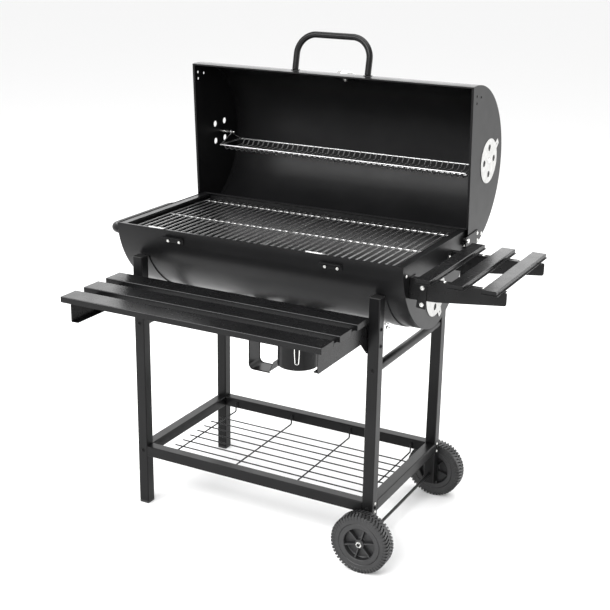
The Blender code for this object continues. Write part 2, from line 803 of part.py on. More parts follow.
def make_hinge(side, sign, hinge):
    """Strap bolted to the lid's end that turns on a pin through the bowl's end."""
    outer = sign * (LID_HALF_LENGTH + GAP)
    thick = 0.0025
    hy, hz = HINGE_Y, HINGE_Z
    outline = [
        (hy - 0.011, hz - 0.011),
        (hy + 0.013, hz - 0.011),
        (hy + 0.026, hz + 0.060),
        (hy + 0.026, hz + 0.078),
        (hy + 0.013, hz + 0.107),
        (hy + 0.001, hz + 0.107),
        (hy - 0.010, hz + 0.074),
    ]
    bore = circle(PIN_RADIUS + GAP, 12, (hy, hz))
    place = (outer + sign * thick / 2, 0, 0)
    name = f"hinge_strap_{side}"
    open_up(plate(name, [outline, bore], thick, STEEL_BLACK, hinge, place, AXIS_X))
    low = sign * (BOWL_HALF_LENGTH - 0.008)
    high = sign * (LID_HALF_LENGTH + thick + 0.005)
    middle = ((low + high) / 2, hy, hz)
    rod(f"hinge_pin_{side}", PIN_RADIUS, abs(high - low), middle, AXIS_X, STEEL_ZINC, sides=12)


def make_lid_vent(side, sign, hinge):
    y, z = opened(0, VENT_Z)
    axis = empty(f"lid_vent_{side}_axis", (sign * LID_HALF_LENGTH, y - HINGE_Y, z - HINGE_Z), hinge)
    x = sign * (LID_HALF_LENGTH + GAP + VENT_PLATE / 2)
    tab_angle, holes_at = (122, 0) if side == "right" else (77, 45)
    outline = vent_outline(tab_angle, holes_at)
    open_up(plate(f"lid_vent_{side}", outline, VENT_PLATE, STEEL_ZINC, axis, (x, 0, VENT_Z), AXIS_X))
    low = sign * (LID_HALF_LENGTH - 0.046)
    high = sign * (LID_HALF_LENGTH + 0.005)
    middle = ((low + high) / 2, 0, VENT_Z)
    name = f"vent_pin_{side}"
    pin = rod(name, PIN_RADIUS, abs(high - low), middle, AXIS_X, STEEL_ZINC, hinge, 12)
    open_up(pin)


def make_lid_handle(hinge):
    """Bent tube that stands out from the lid's front edge and leans up a little when it is shut."""
    half, reach, radius, lean = 0.106, 0.093, 0.0085, math.radians(14)
    foot_z = RIM_Z + 0.019
    foot_y = -math.sqrt(LID_RADIUS**2 - 0.019**2) - GAP - 0.0020
    far_y, far_z = foot_y - reach * math.cos(lean), foot_z + reach * math.sin(lean)
    corners = [
        (-half, foot_y, foot_z),
        (-half, far_y, far_z),
        (half, far_y, far_z),
        (half, foot_y, foot_z),
    ]
    path = rounded_path(corners, 0.053, 8)
    open_up(tube("lid_handle", path, radius, STEEL_BLACK, hinge))


def make_thermometer(hinge):
    """Dial on the lid's front with its stem through the sheet, and the needle that turns in it."""
    angle = math.radians(180 - 30)
    y, z = LID_RADIUS * math.cos(angle), RIM_Z + LID_RADIUS * math.sin(angle)
    outward = Vector((0, math.cos(angle), math.sin(angle)))
    turn = outward.to_track_quat("Z", "Y").to_matrix().to_4x4()
    foot = Vector((0.0, y, z))
    case = rod("thermometer_case", 0.027, 0.010, foot + outward * 0.0075, turn, STEEL_ZINC, hinge, 32)
    dish = rod("dial_cutter", 0.024, 0.006, foot + outward * 0.0125, turn, None, hinge, 32, into=cutters)
    open_up(case)
    open_up(dish)
    cut(case, dish)
    needle_y, needle_z = opened(*(foot + outward * 0.0105).yz)
    axis = empty("needle_axis", (0, needle_y - HINGE_Y, needle_z - HINGE_Z), hinge)
    outline = [(-0.0015, -0.006), (0.0015, -0.006), (0.0006, 0.019), (-0.0006, 0.019)]
    place = foot + outward * 0.0105
    needle = plate("thermometer_needle", [outline], 0.001, STEEL_BLACK, axis, place, turn)
    open_up(needle)


def make_warming_rack(hinge):
    """Shallow wire tray hung level from the two vent pins."""
    y, z = opened(0, VENT_Z)
    swing = empty("rack_axis", (0, y - HINGE_Y, z - HINGE_Z), hinge)
    rail_z = z - RACK_DROP
    half = RACK_HALF_DEPTH
    rack = wire_grid(
        "warming_rack",
        spread(-RACK_HALF_LENGTH, RACK_HALF_LENGTH, 31),
        [-half, -half + 0.014, half - 0.014, half],
        WIRE,
        WIRE_CHROME,
        swing,
        (0, y, rail_z),
        RACK_DISH,
    )
    for sign in (-1, 1):
        x = sign * RACK_HALF_LENGTH
        foot = -RACK_DROP - 0.001
        outline = [(-half, foot), (half, foot), (0.006, 0.006), (-0.006, 0.006)]
        sill = -RACK_DROP + 0.003
        window = [(-half + 0.012, sill), (half - 0.012, sill), (0.003, -0.008), (-0.003, -0.008)]
        hanger = plate(
            f"rack_hanger_{sign}",
            [outline, window, circle(PIN_RADIUS + GAP, 12)],
            WIRE - 0.0006,
            WIRE_CHROME,
            swing,
            (x, y, z),
            AXIS_X,
            cutters,
        )
        cut(rack, hanger, "UNION")


# ---------------------------------------------------------------- assembly


def centre_on_origin():
    """Moves the whole object so that its box is centred on the origin, its feet at 0."""
    bpy.context.view_layer.update()
    graph = bpy.context.evaluated_depsgraph_get()
    corners = []
    for obj in grill.objects:
        if obj.type == "MESH":
            mesh = obj.evaluated_get(graph).to_mesh()
            corners += [obj.matrix_world @ vert.co for vert in mesh.vertices]
    low = Vector(min(corner[i] for corner in corners) for i in range(3))
    high = Vector(max(corner[i] for corner in corners) for i in range(3))
    middle = (low + high) / 2
    root.location = (-middle.x, -middle.y, -low.z)
    print("barrel centre in the object's frame:", tuple(round(v, 5) for v in root.location))


make_legs()
make_frame_rails()
make_wire_shelf()
make_cradles()
make_axle_and_wheels()
make_front_shelf()
make_side_table()
make_bowl()
make_lid_rests()
make_carry_handle()
make_charcoal_grate()
make_cooking_grates()
make_ash_bucket()
make_bowl_vent()
make_lid()
centre_on_origin()
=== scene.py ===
"""Charcoal barrel grill with its lid open, in a plain pale studio. Metres, +Z up, -Y towards the
cook. Lengths are laid out round the middle of the bowl, whose place comes from the CAD frame."""

import json
import math

import bmesh
import bpy
from mathutils import Matrix, Vector

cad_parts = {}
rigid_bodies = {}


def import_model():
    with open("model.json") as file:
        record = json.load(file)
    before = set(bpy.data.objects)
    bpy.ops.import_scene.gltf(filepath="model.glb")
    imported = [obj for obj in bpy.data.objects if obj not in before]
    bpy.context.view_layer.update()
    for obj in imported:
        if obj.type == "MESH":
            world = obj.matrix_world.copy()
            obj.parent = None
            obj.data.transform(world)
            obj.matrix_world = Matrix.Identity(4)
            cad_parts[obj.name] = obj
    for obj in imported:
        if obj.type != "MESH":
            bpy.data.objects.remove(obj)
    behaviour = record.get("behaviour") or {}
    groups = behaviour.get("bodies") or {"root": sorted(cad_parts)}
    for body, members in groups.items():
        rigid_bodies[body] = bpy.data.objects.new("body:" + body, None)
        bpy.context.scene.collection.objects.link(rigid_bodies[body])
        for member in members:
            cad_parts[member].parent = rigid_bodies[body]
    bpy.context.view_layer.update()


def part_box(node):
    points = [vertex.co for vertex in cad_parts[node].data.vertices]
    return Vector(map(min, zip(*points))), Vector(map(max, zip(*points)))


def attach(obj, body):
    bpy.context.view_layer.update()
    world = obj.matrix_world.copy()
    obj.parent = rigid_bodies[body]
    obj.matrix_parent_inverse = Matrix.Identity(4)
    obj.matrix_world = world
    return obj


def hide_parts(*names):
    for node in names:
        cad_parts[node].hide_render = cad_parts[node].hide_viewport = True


for leftover in list(bpy.data.objects):
    bpy.data.objects.remove(leftover, do_unlink=True)

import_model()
scene = bpy.context.scene

# --- places taken from the frame

left_low, left_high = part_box("bowl_end_left")
right_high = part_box("bowl_end_right")[1]
MIDDLE = Vector(((left_low.x + right_high.x) / 2, (left_low.y + left_high.y) / 2, 0))
RIM_Z = left_high.z
HALF_LENGTH = (right_high.x - left_low.x) / 2
HALF_DEPTH = (left_high.y - left_low.y) / 2
BOWL_DEPTH = RIM_Z - left_low.z
BOWL_ROUNDNESS = 1.8
SHEET = 0.0012

pin_low, pin_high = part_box("hinge_pin_right")
HINGE_Y = (pin_low.y + pin_high.y) / 2 - MIDDLE.y
HINGE_Z = (pin_low.z + pin_high.z) / 2
OPEN_ANGLE = math.radians(87)
LID_RADIUS = 0.2124
LID_HALF = 0.4085
LID_OVERLAP = 0.015
LEG_X, LEG_Y, TUBE = 0.335, 0.201, 0.029
VENT_Z = 0.895
BOWL_VENT_Z = 0.664
VENT_RADIUS = 0.058
WHEEL_RADIUS, WHEEL_Y = 0.0775, 0.239
WHEEL_LUGS = 52
HALF_TUBE = TUBE / 2
SHELF_RAIL_Z, SIDE_RAIL_Z = 0.1565, 0.519
CORNER_HOLES = ((-0.1852, 0.7906), (-0.1782, 0.8198), (-0.1673, 0.791))
PIN_HOLE, AIR_HOLE, AIR_RING = 0.0033, 0.0085, 0.035
STRAP_BOLTS = ((0.1756, 0.8262), (0.1841, 0.8548), (0.1957, 0.8291))
SIDES = (("left", -1), ("right", 1))
ENDS = (("front", -1), ("rear", 1))
CORNERS = ((-1, -1), (-1, 1), (1, -1), (1, 1))
LID_BODIES = ("lid", "vent_left", "vent_right", "needle")


def at(x, y, z):
    return Vector((x, y, z)) + MIDDLE


def box_of(node):
    """The two far corners of a CAD solid, from the middle of the bowl."""
    low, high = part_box(node)
    return low - MIDDLE, high - MIDDLE


AXIS_X = Matrix(((0, 0, 1), (1, 0, 0), (0, 1, 0))).to_4x4()
AXIS_Y = Matrix(((1, 0, 0), (0, 0, -1), (0, 1, 0))).to_4x4()
AXIS_Z = Matrix.Identity(4)
PIVOT = at(0, HINGE_Y, HINGE_Z)
LIFT = Matrix.Rotation(-OPEN_ANGLE, 4, "X")
OPENED = Matrix.Translation(PIVOT) @ LIFT @ Matrix.Translation(-PIVOT)


def lie(x, y, z, turn=AXIS_Z):
    """Moves a shape laid out round its own origin to a place round the bowl."""
    return Matrix.Translation(at(x, y, z)) @ turn


HERE = lie(0, 0, 0)


def spun(angle):
    return Matrix.Rotation(angle, 4, "Z")


# --- materials


def new_material(name, colour, roughness, metallic=0.0):
    made = bpy.data.materials.new(name)
    made.use_nodes = True
    shader = made.node_tree.nodes["Principled BSDF"]
    shader.inputs["Base Color"].default_value = (*colour, 1)
    shader.inputs["Roughness"].default_value = roughness
    shader.inputs["Metallic"].default_value = metallic
    return made, made.node_tree, shader


def noise(tree, scale, detail=2.0, roughness=0.5):
    place = tree.nodes.new("ShaderNodeTexCoord")
    made = tree.nodes.new("ShaderNodeTexNoise")
    made.inputs["Scale"].default_value = scale
    made.inputs["Detail"].default_value = detail
    made.inputs["Roughness"].default_value = roughness
    tree.links.new(place.outputs["Object"], made.inputs["Vector"])
    return made.outputs["Fac"]


def spread_value(tree, source, low, high, target):
    """Maps a 0.3 to 0.7 noise onto low to high and feeds it to a shader's input."""
    made = tree.nodes.new("ShaderNodeMapRange")
    made.inputs["From Min"].default_value = 0.3
    made.inputs["From Max"].default_value = 0.7
    made.inputs["To Min"].default_value = low
    made.inputs["To Max"].default_value = high
    tree.links.new(source, made.inputs["Value"])
    tree.links.new(made.outputs["Result"], target)


def spread_colour(tree, source, dark, light, target):
    ramp = tree.nodes.new("ShaderNodeValToRGB")
    ramp.color_ramp.elements[0].position = 0.3
    ramp.color_ramp.elements[1].position = 0.7
    ramp.color_ramp.elements[0].color = (*dark, 1)
    ramp.color_ramp.elements[1].color = (*light, 1)
    tree.links.new(source, ramp.inputs["Fac"])
    tree.links.new(ramp.outputs["Color"], target)


def bump(tree, sources, target):
    """Stacks height textures given as (source, distance in metres, strength)."""
    before = None
    for source, distance, strength in sources:
        made = tree.nodes.new("ShaderNodeBump")
        made.inputs["Distance"].default_value = distance
        made.inputs["Strength"].default_value = strength
        tree.links.new(source, made.inputs["Height"])
        if before:
            tree.links.new(before, made.inputs["Normal"])
        before = made.outputs["Normal"]
    tree.links.new(before, target)


def powder_coat(name, dark, light, roughness, peel=0.35):
    """Satin baked coating: orange peel, a fine grain and slight changes of sheen."""
    made, tree, shader = new_material(name, light, roughness)
    spread_colour(tree, noise(tree, 9, 4), dark, light, shader.inputs["Base Color"])
    low, high = roughness - 0.025, roughness + 0.025
    spread_value(tree, noise(tree, 24, 3), low, high, shader.inputs["Roughness"])
    bump(
        tree,
        [(noise(tree, 420, 2), 0.000016, peel), (noise(tree, 2600, 1), 0.000003, peel)],
        shader.inputs["Normal"],
    )
    shader.inputs["Specular IOR Level"].default_value = 0.17
    return made


def bare_metal(name, dark, light, rough_low, rough_high, scale=60, metallic=1.0):
    made, tree, shader = new_material(name, light, rough_low, metallic)
    spread_colour(tree, noise(tree, scale, 5, 0.6), dark, light, shader.inputs["Base Color"])
    fine = noise(tree, scale * 3, 4, 0.6)
    spread_value(tree, fine, rough_low, rough_high, shader.inputs["Roughness"])
    bump(tree, [(noise(tree, scale * 14, 3, 0.6), 0.00003, 0.25)], shader.inputs["Normal"])
    return made


def moulded(name, dark, light, roughness):
    made, tree, shader = new_material(name, light, roughness)
    spread_colour(tree, noise(tree, 30, 4), dark, light, shader.inputs["Base Color"])
    low, high = roughness - 0.06, roughness + 0.06
    spread_value(tree, noise(tree, 90, 3), low, high, shader.inputs["Roughness"])
    bump(tree, [(noise(tree, 1500, 2), 0.00004, 0.4)], shader.inputs["Normal"])
    return made


BLACK = (0.004, 0.004, 0.0042), (0.0065, 0.0065, 0.0068)
COAT = powder_coat("satin_black_coat", (0.0045, 0.0045, 0.0048), (0.007, 0.007, 0.0074), 0.33)
COAT_FRAME = powder_coat("satin_black_frame_coat", *BLACK, 0.32, 0.15)
COAT_SLATS = powder_coat("satin_black_slat_coat", *BLACK, 0.27, 0.06)
HANDLE = powder_coat(
    "satin_black_handle_coat", (0.005, 0.005, 0.0053), (0.008, 0.008, 0.0083), 0.26, 0.2
)
SHELF_WIRE = powder_coat("black_shelf_wire", (0.01, 0.01, 0.0105), (0.018, 0.018, 0.0185), 0.3, 0.2)
ZINC = bare_metal("zinc_plate", (0.4, 0.4, 0.39), (0.52, 0.52, 0.51), 0.4, 0.52)
BRIGHT = bare_metal(
    "bright_fastener_zinc", (0.6, 0.6, 0.58), (0.82, 0.82, 0.8), 0.2, 0.34, scale=200
)
CHROME = bare_metal("chrome_wire", (0.52, 0.52, 0.52), (0.64, 0.64, 0.64), 0.3, 0.42, scale=150)
COAL_STEEL = bare_metal(
    "plain_grate_steel", (0.42, 0.42, 0.41), (0.56, 0.56, 0.55), 0.5, 0.65, scale=90, metallic=0.35
)
# Lighter grey coat for the thin rods along the slats' folds: a painted highlight line standing in
# for light caught on the rounded folds.
FOLD_HIGHLIGHT_PAINT = powder_coat("painted_fold_highlight_coat", (0.045, 0.045, 0.046), (0.085, 0.085, 0.086), 0.3, 0.1)
WHEEL_PLASTIC = moulded("dark_wheel_plastic", (0.012, 0.012, 0.0125), (0.02, 0.02, 0.0205), 0.46)
CAP_PLASTIC = moulded("black_cap_plastic", (0.006, 0.006, 0.006), (0.011, 0.011, 0.011), 0.5)
DIAL = moulded("dial_enamel", (0.74, 0.74, 0.72), (0.8, 0.8, 0.78), 0.35)
DIAL_INK = moulded("dial_ink", (0.02, 0.02, 0.02), (0.03, 0.03, 0.03), 0.5)
NEEDLE_RED = moulded("needle_red", (0.4, 0.02, 0.015), (0.48, 0.03, 0.02), 0.4)


GLASS, _, glass_shader = new_material("dial_glass", (1, 1, 1), 0.03)
glass_shader.inputs["Transmission Weight"].default_value = 1.0
glass_shader.inputs["IOR"].default_value = 1.45

# --- shape tools


def polar(radius, angle, centre=(0, 0)):
    return centre[0] + radius * math.cos(angle), centre[1] + radius * math.sin(angle)


def circle(radius, sides=48, centre=(0, 0), start=0.0):
    return [polar(radius, start + i * math.tau / sides, centre) for i in range(sides)]


def scaled(points, size):
    return [(size * u, size * v) for u, v in points]


def rounded(corners, radius, steps=5):
    """A closed 2D outline with rounded corners; radius is one number or one a corner."""
    radii = radius if isinstance(radius, (list, tuple)) else [radius] * len(corners)
    corners = [Vector(corner) for corner in corners]
    outline = []
    for i, corner in enumerate(corners):
        before, after = corners[i - 1], corners[(i + 1) % len(corners)]
        outline += arc_corner(before, corner, after, radii[i], steps)
    return [(point.x, point.y) for point in outline]


def arc_corner(before, corner, after, radius, steps):
    to_before, to_after = (before - corner).normalized(), (after - corner).normalized()
    angle = to_before.angle(to_after)
    if radius <= 0 or angle > math.pi - 0.01:
        return [corner]
    reach = radius / math.tan(angle / 2)
    centre = corner + (to_before + to_after).normalized() * (radius / math.sin(angle / 2))
    start = (corner + to_before * reach - centre).normalized()
    end = (corner + to_after * reach - centre).normalized()
    return [centre + start.slerp(end, i / steps) * radius for i in range(steps + 1)]


def bend(corners, radius, steps=8):
    """An open path with rounded inner corners; radius is one number or one a corner."""
    radii = radius if isinstance(radius, tuple) else (radius,) * len(corners)
    corners = [Vector(corner) for corner in corners]
    path = [corners[0]]
    for before, corner, after, turn in zip(corners, corners[1:], corners[2:], radii):
        path += arc_corner(before, corner, after, turn, steps)
    return path + [corners[-1]]


def finished(shape, name):
    """Mesh of a closed bmesh, its faces turned outwards."""
    bmesh.ops.recalc_face_normals(shape, faces=shape.faces)
    made = bpy.data.meshes.new(name)
    shape.to_mesh(made)
    shape.free()
    return made


def curve_mesh(data):
    holder = bpy.data.objects.new("holder", data)
    scene.collection.objects.link(holder)
    bpy.context.view_layer.update()
    graph = bpy.context.evaluated_depsgraph_get()
    made = bpy.data.meshes.new_from_object(holder.evaluated_get(graph))
    bpy.data.objects.remove(holder)
    bpy.data.curves.remove(data)
    shape = bmesh.new()
    shape.from_mesh(made)
    bmesh.ops.remove_doubles(shape, verts=shape.verts, dist=0.000005)
    bmesh.ops.dissolve_degenerate(shape, edges=shape.edges, dist=0.000002)
    return finished(shape, "curve")


def flat(outlines, thickness, edge=0.0003, soft=2):
    """Flat piece, outline first and then holes, with its edges eased."""
    data = bpy.data.curves.new("flat", "CURVE")
    data.dimensions = "2D"
    data.fill_mode = "BOTH"
    edge = min(edge, thickness * 0.45)
    data.extrude = thickness / 2 - edge
    data.bevel_depth = edge
    data.bevel_resolution = soft
    data.offset = -edge
    for outline in outlines:
        spline = data.splines.new("POLY")
        spline.points.add(len(outline) - 1)
        for point, (x, y) in zip(spline.points, outline):
            point.co = (x, y, 0, 1)
        spline.use_cyclic_u = True
    return curve_mesh(data)


def wire(points, radius, detail):
    data = bpy.data.curves.new("wire", "CURVE")
    data.dimensions = "3D"
    data.bevel_depth = radius
    data.bevel_resolution = detail
    data.use_fill_caps = True
    spline = data.splines.new("POLY")
    spline.points.add(len(points) - 1)
    for point, place in zip(spline.points, points):
        point.co = (*place, 1)
    return curve_mesh(data)


def rod(points, radius, detail=4):
    """Round wire along points given from the middle of the bowl, as a (mesh, matrix) pair."""
    return wire(points, radius, detail), HERE


def rectangle(low, high, radius, steps=5):
    """Rounded rectangle between two 2D corners."""
    return rounded([low, (high[0], low[1]), high, (low[0], high[1])], radius, steps)


def plate(corners, radius, thickness=0.002, edge=0.0003):
    return flat([rounded(corners, radius)], thickness, edge)


def strip(low, high, radius, thickness, edge=0.0003):
    return flat([rectangle(low, high, radius)], thickness, edge)


def square(half, radius):
    return rectangle((-half, -half), (half, half), radius)


def folded(profile, thickness, length, edge=0.0003):
    """Sheet bent to a 2D path, its thickness to the left, `length` across it."""
    other = []
    for i, (u, v) in enumerate(profile):
        before, after = profile[max(i - 1, 0)], profile[min(i + 1, len(profile) - 1)]
        along = Vector((after[0] - before[0], after[1] - before[1])).normalized()
        other.append((u - along.y * thickness, v + along.x * thickness))
    return flat([list(profile) + other[::-1]], length, edge)


def turned(profile, steps=64, closed=False):
    """Solid of revolution about Z of (radius, height) points."""
    shape = bmesh.new()
    points = [shape.verts.new((radius, 0, height)) for radius, height in profile]
    edges = [shape.edges.new(pair) for pair in zip(points, points[1:])]
    if closed:
        edges.append(shape.edges.new((points[-1], points[0])))
    bmesh.ops.spin(
        shape, geom=points + edges, cent=(0, 0, 0), axis=(0, 0, 1), angle=math.tau, steps=steps,
        use_merge=True,
    )
    bmesh.ops.remove_doubles(shape, verts=shape.verts, dist=0.000005)
    return finished(shape, "turned")


def solid(points_a, points_b):
    """Prism between two rings of the same number of points."""
    shape = bmesh.new()
    ring_a = [shape.verts.new(point) for point in points_a]
    ring_b = [shape.verts.new(point) for point in points_b]
    shape.faces.new(ring_a[::-1])
    shape.faces.new(ring_b)
    for i in range(len(ring_a)):
        j = (i + 1) % len(ring_a)
        shape.faces.new((ring_a[i], ring_a[j], ring_b[j], ring_b[i]))
    return finished(shape, "solid")


def joined(parts):
    """One mesh from (mesh, matrix) pairs."""
    shape = bmesh.new()
    for mesh, matrix in parts:
        start = len(shape.verts)
        shape.from_mesh(mesh)
        shape.verts.ensure_lookup_table()
        bmesh.ops.transform(shape, matrix=matrix, verts=shape.verts[start:])
    made = bpy.data.meshes.new("joined")
    shape.to_mesh(made)
    shape.free()
    return made


def piece(name, parts, coat, stands_for=None, body="frame", sharp=34):
    """Puts (mesh, matrix) pairs into the scene as one piece that rides on a body. The lid and what
    it carries are laid out closed and turned open here."""
    made = joined(parts)
    if body in LID_BODIES:
        made.transform(OPENED)
    for face in made.polygons:
        face.use_smooth = True
    made.set_sharp_from_angle(angle=math.radians(sharp))
    obj = bpy.data.objects.new(name, made)
    scene.collection.objects.link(obj)
    made.materials.append(coat)
    evened = obj.modifiers.new("evened_shading", "WEIGHTED_NORMAL")
    evened.keep_sharp = True
    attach(obj, body)
    if stands_for:
        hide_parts(stands_for)
    return obj


def facing(direction):
    return Vector(direction).to_track_quat("Z", "Y").to_matrix().to_4x4()


def pan_head(size):
    """Round screw head with a washer under it, its seat at 0 facing +Z."""
    rim = size * 1.15
    washer = turned([(0, 0), (rim, 0), (size * 1.2, 0.0003), (rim, 0.0007), (0, 0.0007)], 32)
    head = [(0.8, 0.28), (0.66, 0.55), (0.4, 0.66), (0.24, 0.66), (0.2, 0.42), (0, 0.42)]
    head = turned([(size * 0.78, 0.0006), *scaled(head, size)], 24)
    return joined([(washer, AXIS_Z), (head, AXIS_Z)])


def wing_nut(size):
    body = turned(scaled([(0, 0), (1, 0), (0.8, 1.1), (0.4, 1.3), (0, 1.3)], size), 24)
    wing = scaled([(0.4, 0), (1.6, 0.9), (2.3, 2.2), (1.2, 2.0), (0.4, 1.0)], size)
    wing = plate(wing, size * 0.25, size * 0.35)
    upright = Matrix.Rotation(math.radians(90), 4, "X")
    parts = [(body, AXIS_Z)]
    for turn in (0, math.pi):
        parts.append((wing, spun(turn) @ upright))
    return joined(parts)


def fasteners(name, shape, places, body="frame", coat=BRIGHT):
    """The same fastener at each (point, outward direction), as one piece."""
    parts = [(shape, lie(*point, facing(direction))) for point, direction in places]
    piece(name, parts, coat, body=body)


def bowl_point(angle, grow=0.0):
    """(y, z) on the bowl's outer profile; angle 0 is the rear rim, -90 degrees the bottom."""
    power = 2 / BOWL_ROUNDNESS
    across, down = math.cos(angle), -math.sin(angle)
    y = math.copysign(abs(across) ** power, across) * (HALF_DEPTH + grow)
    return y, RIM_Z - max(down, 0) ** power * (BOWL_DEPTH + grow)


def angles(start, end, count):
    return [math.radians(start + (end - start) * i / count) for i in range(count + 1)]


def spaced(low, high, count):
    return [low + (high - low) * i / (count - 1) for i in range(count)]


def hang_from(profile, x_low, x_high, thickness, edge=0.0003):
    """Sheet bent to a (y, z) profile between two x."""
    return folded(profile, thickness, x_high - x_low, edge), lie((x_low + x_high) / 2, 0, 0, AXIS_X)


# --- trolley


def square_tube(length):
    wall, radius = 0.0014, 0.0028
    outlines = [square(HALF_TUBE, radius), square(HALF_TUBE - wall, radius - wall * 0.6)]
    return flat(outlines, length, 0.0002, 1)


def tube_plug():
    """Moulded plug in the end of a tube, its stem pointing down from 0."""
    rim = flat([square(HALF_TUBE, 0.003)], 0.0024, 0.0008)
    stem = flat([square(HALF_TUBE - 0.0018, 0.002)], 0.01)
    raised, sunk = Matrix.Translation((0, 0, 0.0012)), Matrix.Translation((0, 0, -0.005))
    return joined([(rim, raised), (stem, sunk)])


def make_trolley():
    for side, sign_x in SIDES:
        for end, sign_y in ENDS:
            low, high = box_of(f"leg_{end}_{side}")
            x, y = sign_x * LEG_X, sign_y * LEG_Y
            parts = [(square_tube(high.z - low.z), lie(x, y, (low.z + high.z) / 2))]
            piece(f"leg_tube_{end}_{side}", parts, COAT_FRAME, f"leg_{end}_{side}")
            caps = [(tube_plug(), lie(x, y, high.z - 0.0004))]
            if side == "right":
                upturned = Matrix.Rotation(math.pi, 4, "X")
                caps.append((tube_plug(), lie(x, y, low.z + 0.0004, upturned)))
                piece(f"leg_plugs_{end}_{side}", caps, CAP_PLASTIC)
            else:
                caps.append((flat([square(HALF_TUBE, 0.003)], 0.006, 0.0008), lie(x, y, 0.003)))
                piece(f"leg_foot_{end}", caps, CAP_PLASTIC, f"foot_cap_{end}")
    span_x, span_y = 2 * (LEG_X - HALF_TUBE), 2 * (LEG_Y - HALF_TUBE)
    ends = [(0.0104, -span_y / 2), (0.012, -span_y / 2), (0.012, span_y / 2), (0.0104, span_y / 2)]
    side_tube = turned(ends, 48, True)
    for end, y in (("front", -LEG_Y), ("rear", LEG_Y)):
        parts = [(square_tube(span_x - 0.0004), lie(0, y, SHELF_RAIL_Z, AXIS_X))]
        piece(f"shelf_tube_{end}", parts, COAT_FRAME, f"shelf_rail_{end}")
    for side, x in (("left", -LEG_X), ("right", LEG_X)):
        parts = [(square_tube(span_y - 0.0004), lie(x, 0, SHELF_RAIL_Z, AXIS_Y))]
        piece(f"shelf_tube_{side}", parts, COAT_FRAME, f"shelf_rail_{side}")
        parts = [(side_tube, lie(x, 0, SIDE_RAIL_Z, AXIS_Y))]
        piece(f"side_tube_{side}", parts, COAT_FRAME, f"side_rail_{side}")
    make_frame_screws()


def make_frame_screws():
    heads, outer_x, outer_y = [], LEG_X + HALF_TUBE, LEG_Y + HALF_TUBE
    for sign_x, sign_y in CORNERS:
        for z in (SHELF_RAIL_Z, SIDE_RAIL_Z):
            heads.append(((sign_x * LEG_X, sign_y * outer_y, z), (0, sign_y, 0)))
        heads.append(((sign_x * outer_x, sign_y * LEG_Y, SHELF_RAIL_Z), (sign_x, 0, 0)))
    fasteners("frame_screws", pan_head(0.005), heads, coat=COAT_FRAME)
    bright = [((outer_x, sign * LEG_Y, z), (1, 0, 0)) for sign in (-1, 1) for z in (0.1455, 0.1675)]
    fasteners("rail_bolts", pan_head(0.0034), bright)


def make_wire_shelf():
    low, high = box_of("wire_shelf")
    level, radius, inner = low.z + 0.002, 0.0021, LEG_Y - HALF_TUBE - 0.0004
    parts = []
    for y in spaced(-0.11, 0.11, 7):
        parts.append(rod([(-0.3, y, level + radius), (0.3, y, level + radius)], 0.0018))
    for x in spaced(-0.2805, 0.2805, 4):
        top = high.z - radius
        path = [
            (x, -inner, top), (x, -inner + 0.0062, top), (x, -inner + 0.0062, level - radius),
            (x, inner - 0.0062, level - radius), (x, inner - 0.0062, top), (x, inner, top),
        ]
        parts.append(rod(bend(path, 0.0045, 5), radius))
    piece("wire_shelf_wires", parts, SHELF_WIRE, "wire_shelf")


def make_cradles():
    profile = [bowl_point(angle - math.tau, 0.0025) for angle in angles(206.6, 333.4, 72)]
    for side, x in (("left", -LEG_X), ("right", LEG_X)):
        parts = [hang_from(profile, x - HALF_TUBE, x + HALF_TUBE, 0.002, 0.0004)]
        piece(f"cradle_strap_{side}", parts, COAT_FRAME, f"cradle_{side}")
    nuts = []
    for sign_x, sign_y in CORNERS:
        for y, z in ((0.178, 0.632), (0.17, 0.62)):
            place = (sign_x * (LEG_X + 0.0135), sign_y * y, z)
            nuts.append((place, (sign_x * 0.8, sign_y * 0.4, -0.45)))
    fasteners("cradle_wing_nuts", wing_nut(0.0036), nuts)


# --- wheels


def wheel_mesh():
    """Moulded wheel about Z: dished sides with ribs, a hub boss and a lugged tread."""
    side = [
        (0.0044, 0.0165), (0.0095, 0.0165), (0.0115, 0.0155), (0.0125, 0.006), (0.0145, 0.0045),
        (0.038, 0.0045), (0.04, 0.006), (0.0415, 0.018), (0.0435, 0.0192), (0.0535, 0.0192),
        (0.0547, 0.018), (0.056, 0.0192), (0.065, 0.0196), (0.0715, 0.019), (0.0738, 0.0165),
        (0.0742, 0.01),
    ]
    mirrored = [(radius, -height) for radius, height in reversed(side)]
    parts = [(turned(side + mirrored, 96, True), AXIS_Z)]
    for face in (1, -1):
        rib, lug = wheel_rib(face), wheel_lug(face)
        for i in range(6):
            parts.append((rib, spun(math.tau * i / 6 + 0.26)))
        half_step = 0 if face > 0 else 0.5
        for i in range(WHEEL_LUGS):
            parts.append((lug, spun(math.tau * (i + half_step) / WHEEL_LUGS)))
    return joined(parts)


def wheel_rib(face):
    ring = [(0.0115, 0.0035), (0.0405, 0.0035), (0.0408, 0.017), (0.03, 0.015), (0.0118, 0.015)]
    sides = []
    for sign in (-1, 1):
        sides.append([(r, sign * (0.002415 if z < 0.006 else 0.00168), face * z) for r, z in ring])
    return solid(*sides)


def wheel_lug(face):
    ring = [
        (0.064, 0.019), (0.0655, 0.0203), (0.0735, 0.0201), (0.0765, 0.0188), (0.0775, 0.0165),
        (0.0775, -0.0008), (0.0735, -0.0008), (0.073, 0.015), (0.07, 0.018),
    ]
    sides = []
    for half in (-0.034, 0.034):
        points = []
        for radius, height in ring:
            skew = max(0.0, 0.016 - height) * 4.0
            points.append((*polar(radius, half + skew), face * height))
        sides.append(points)
    return solid(*sides)


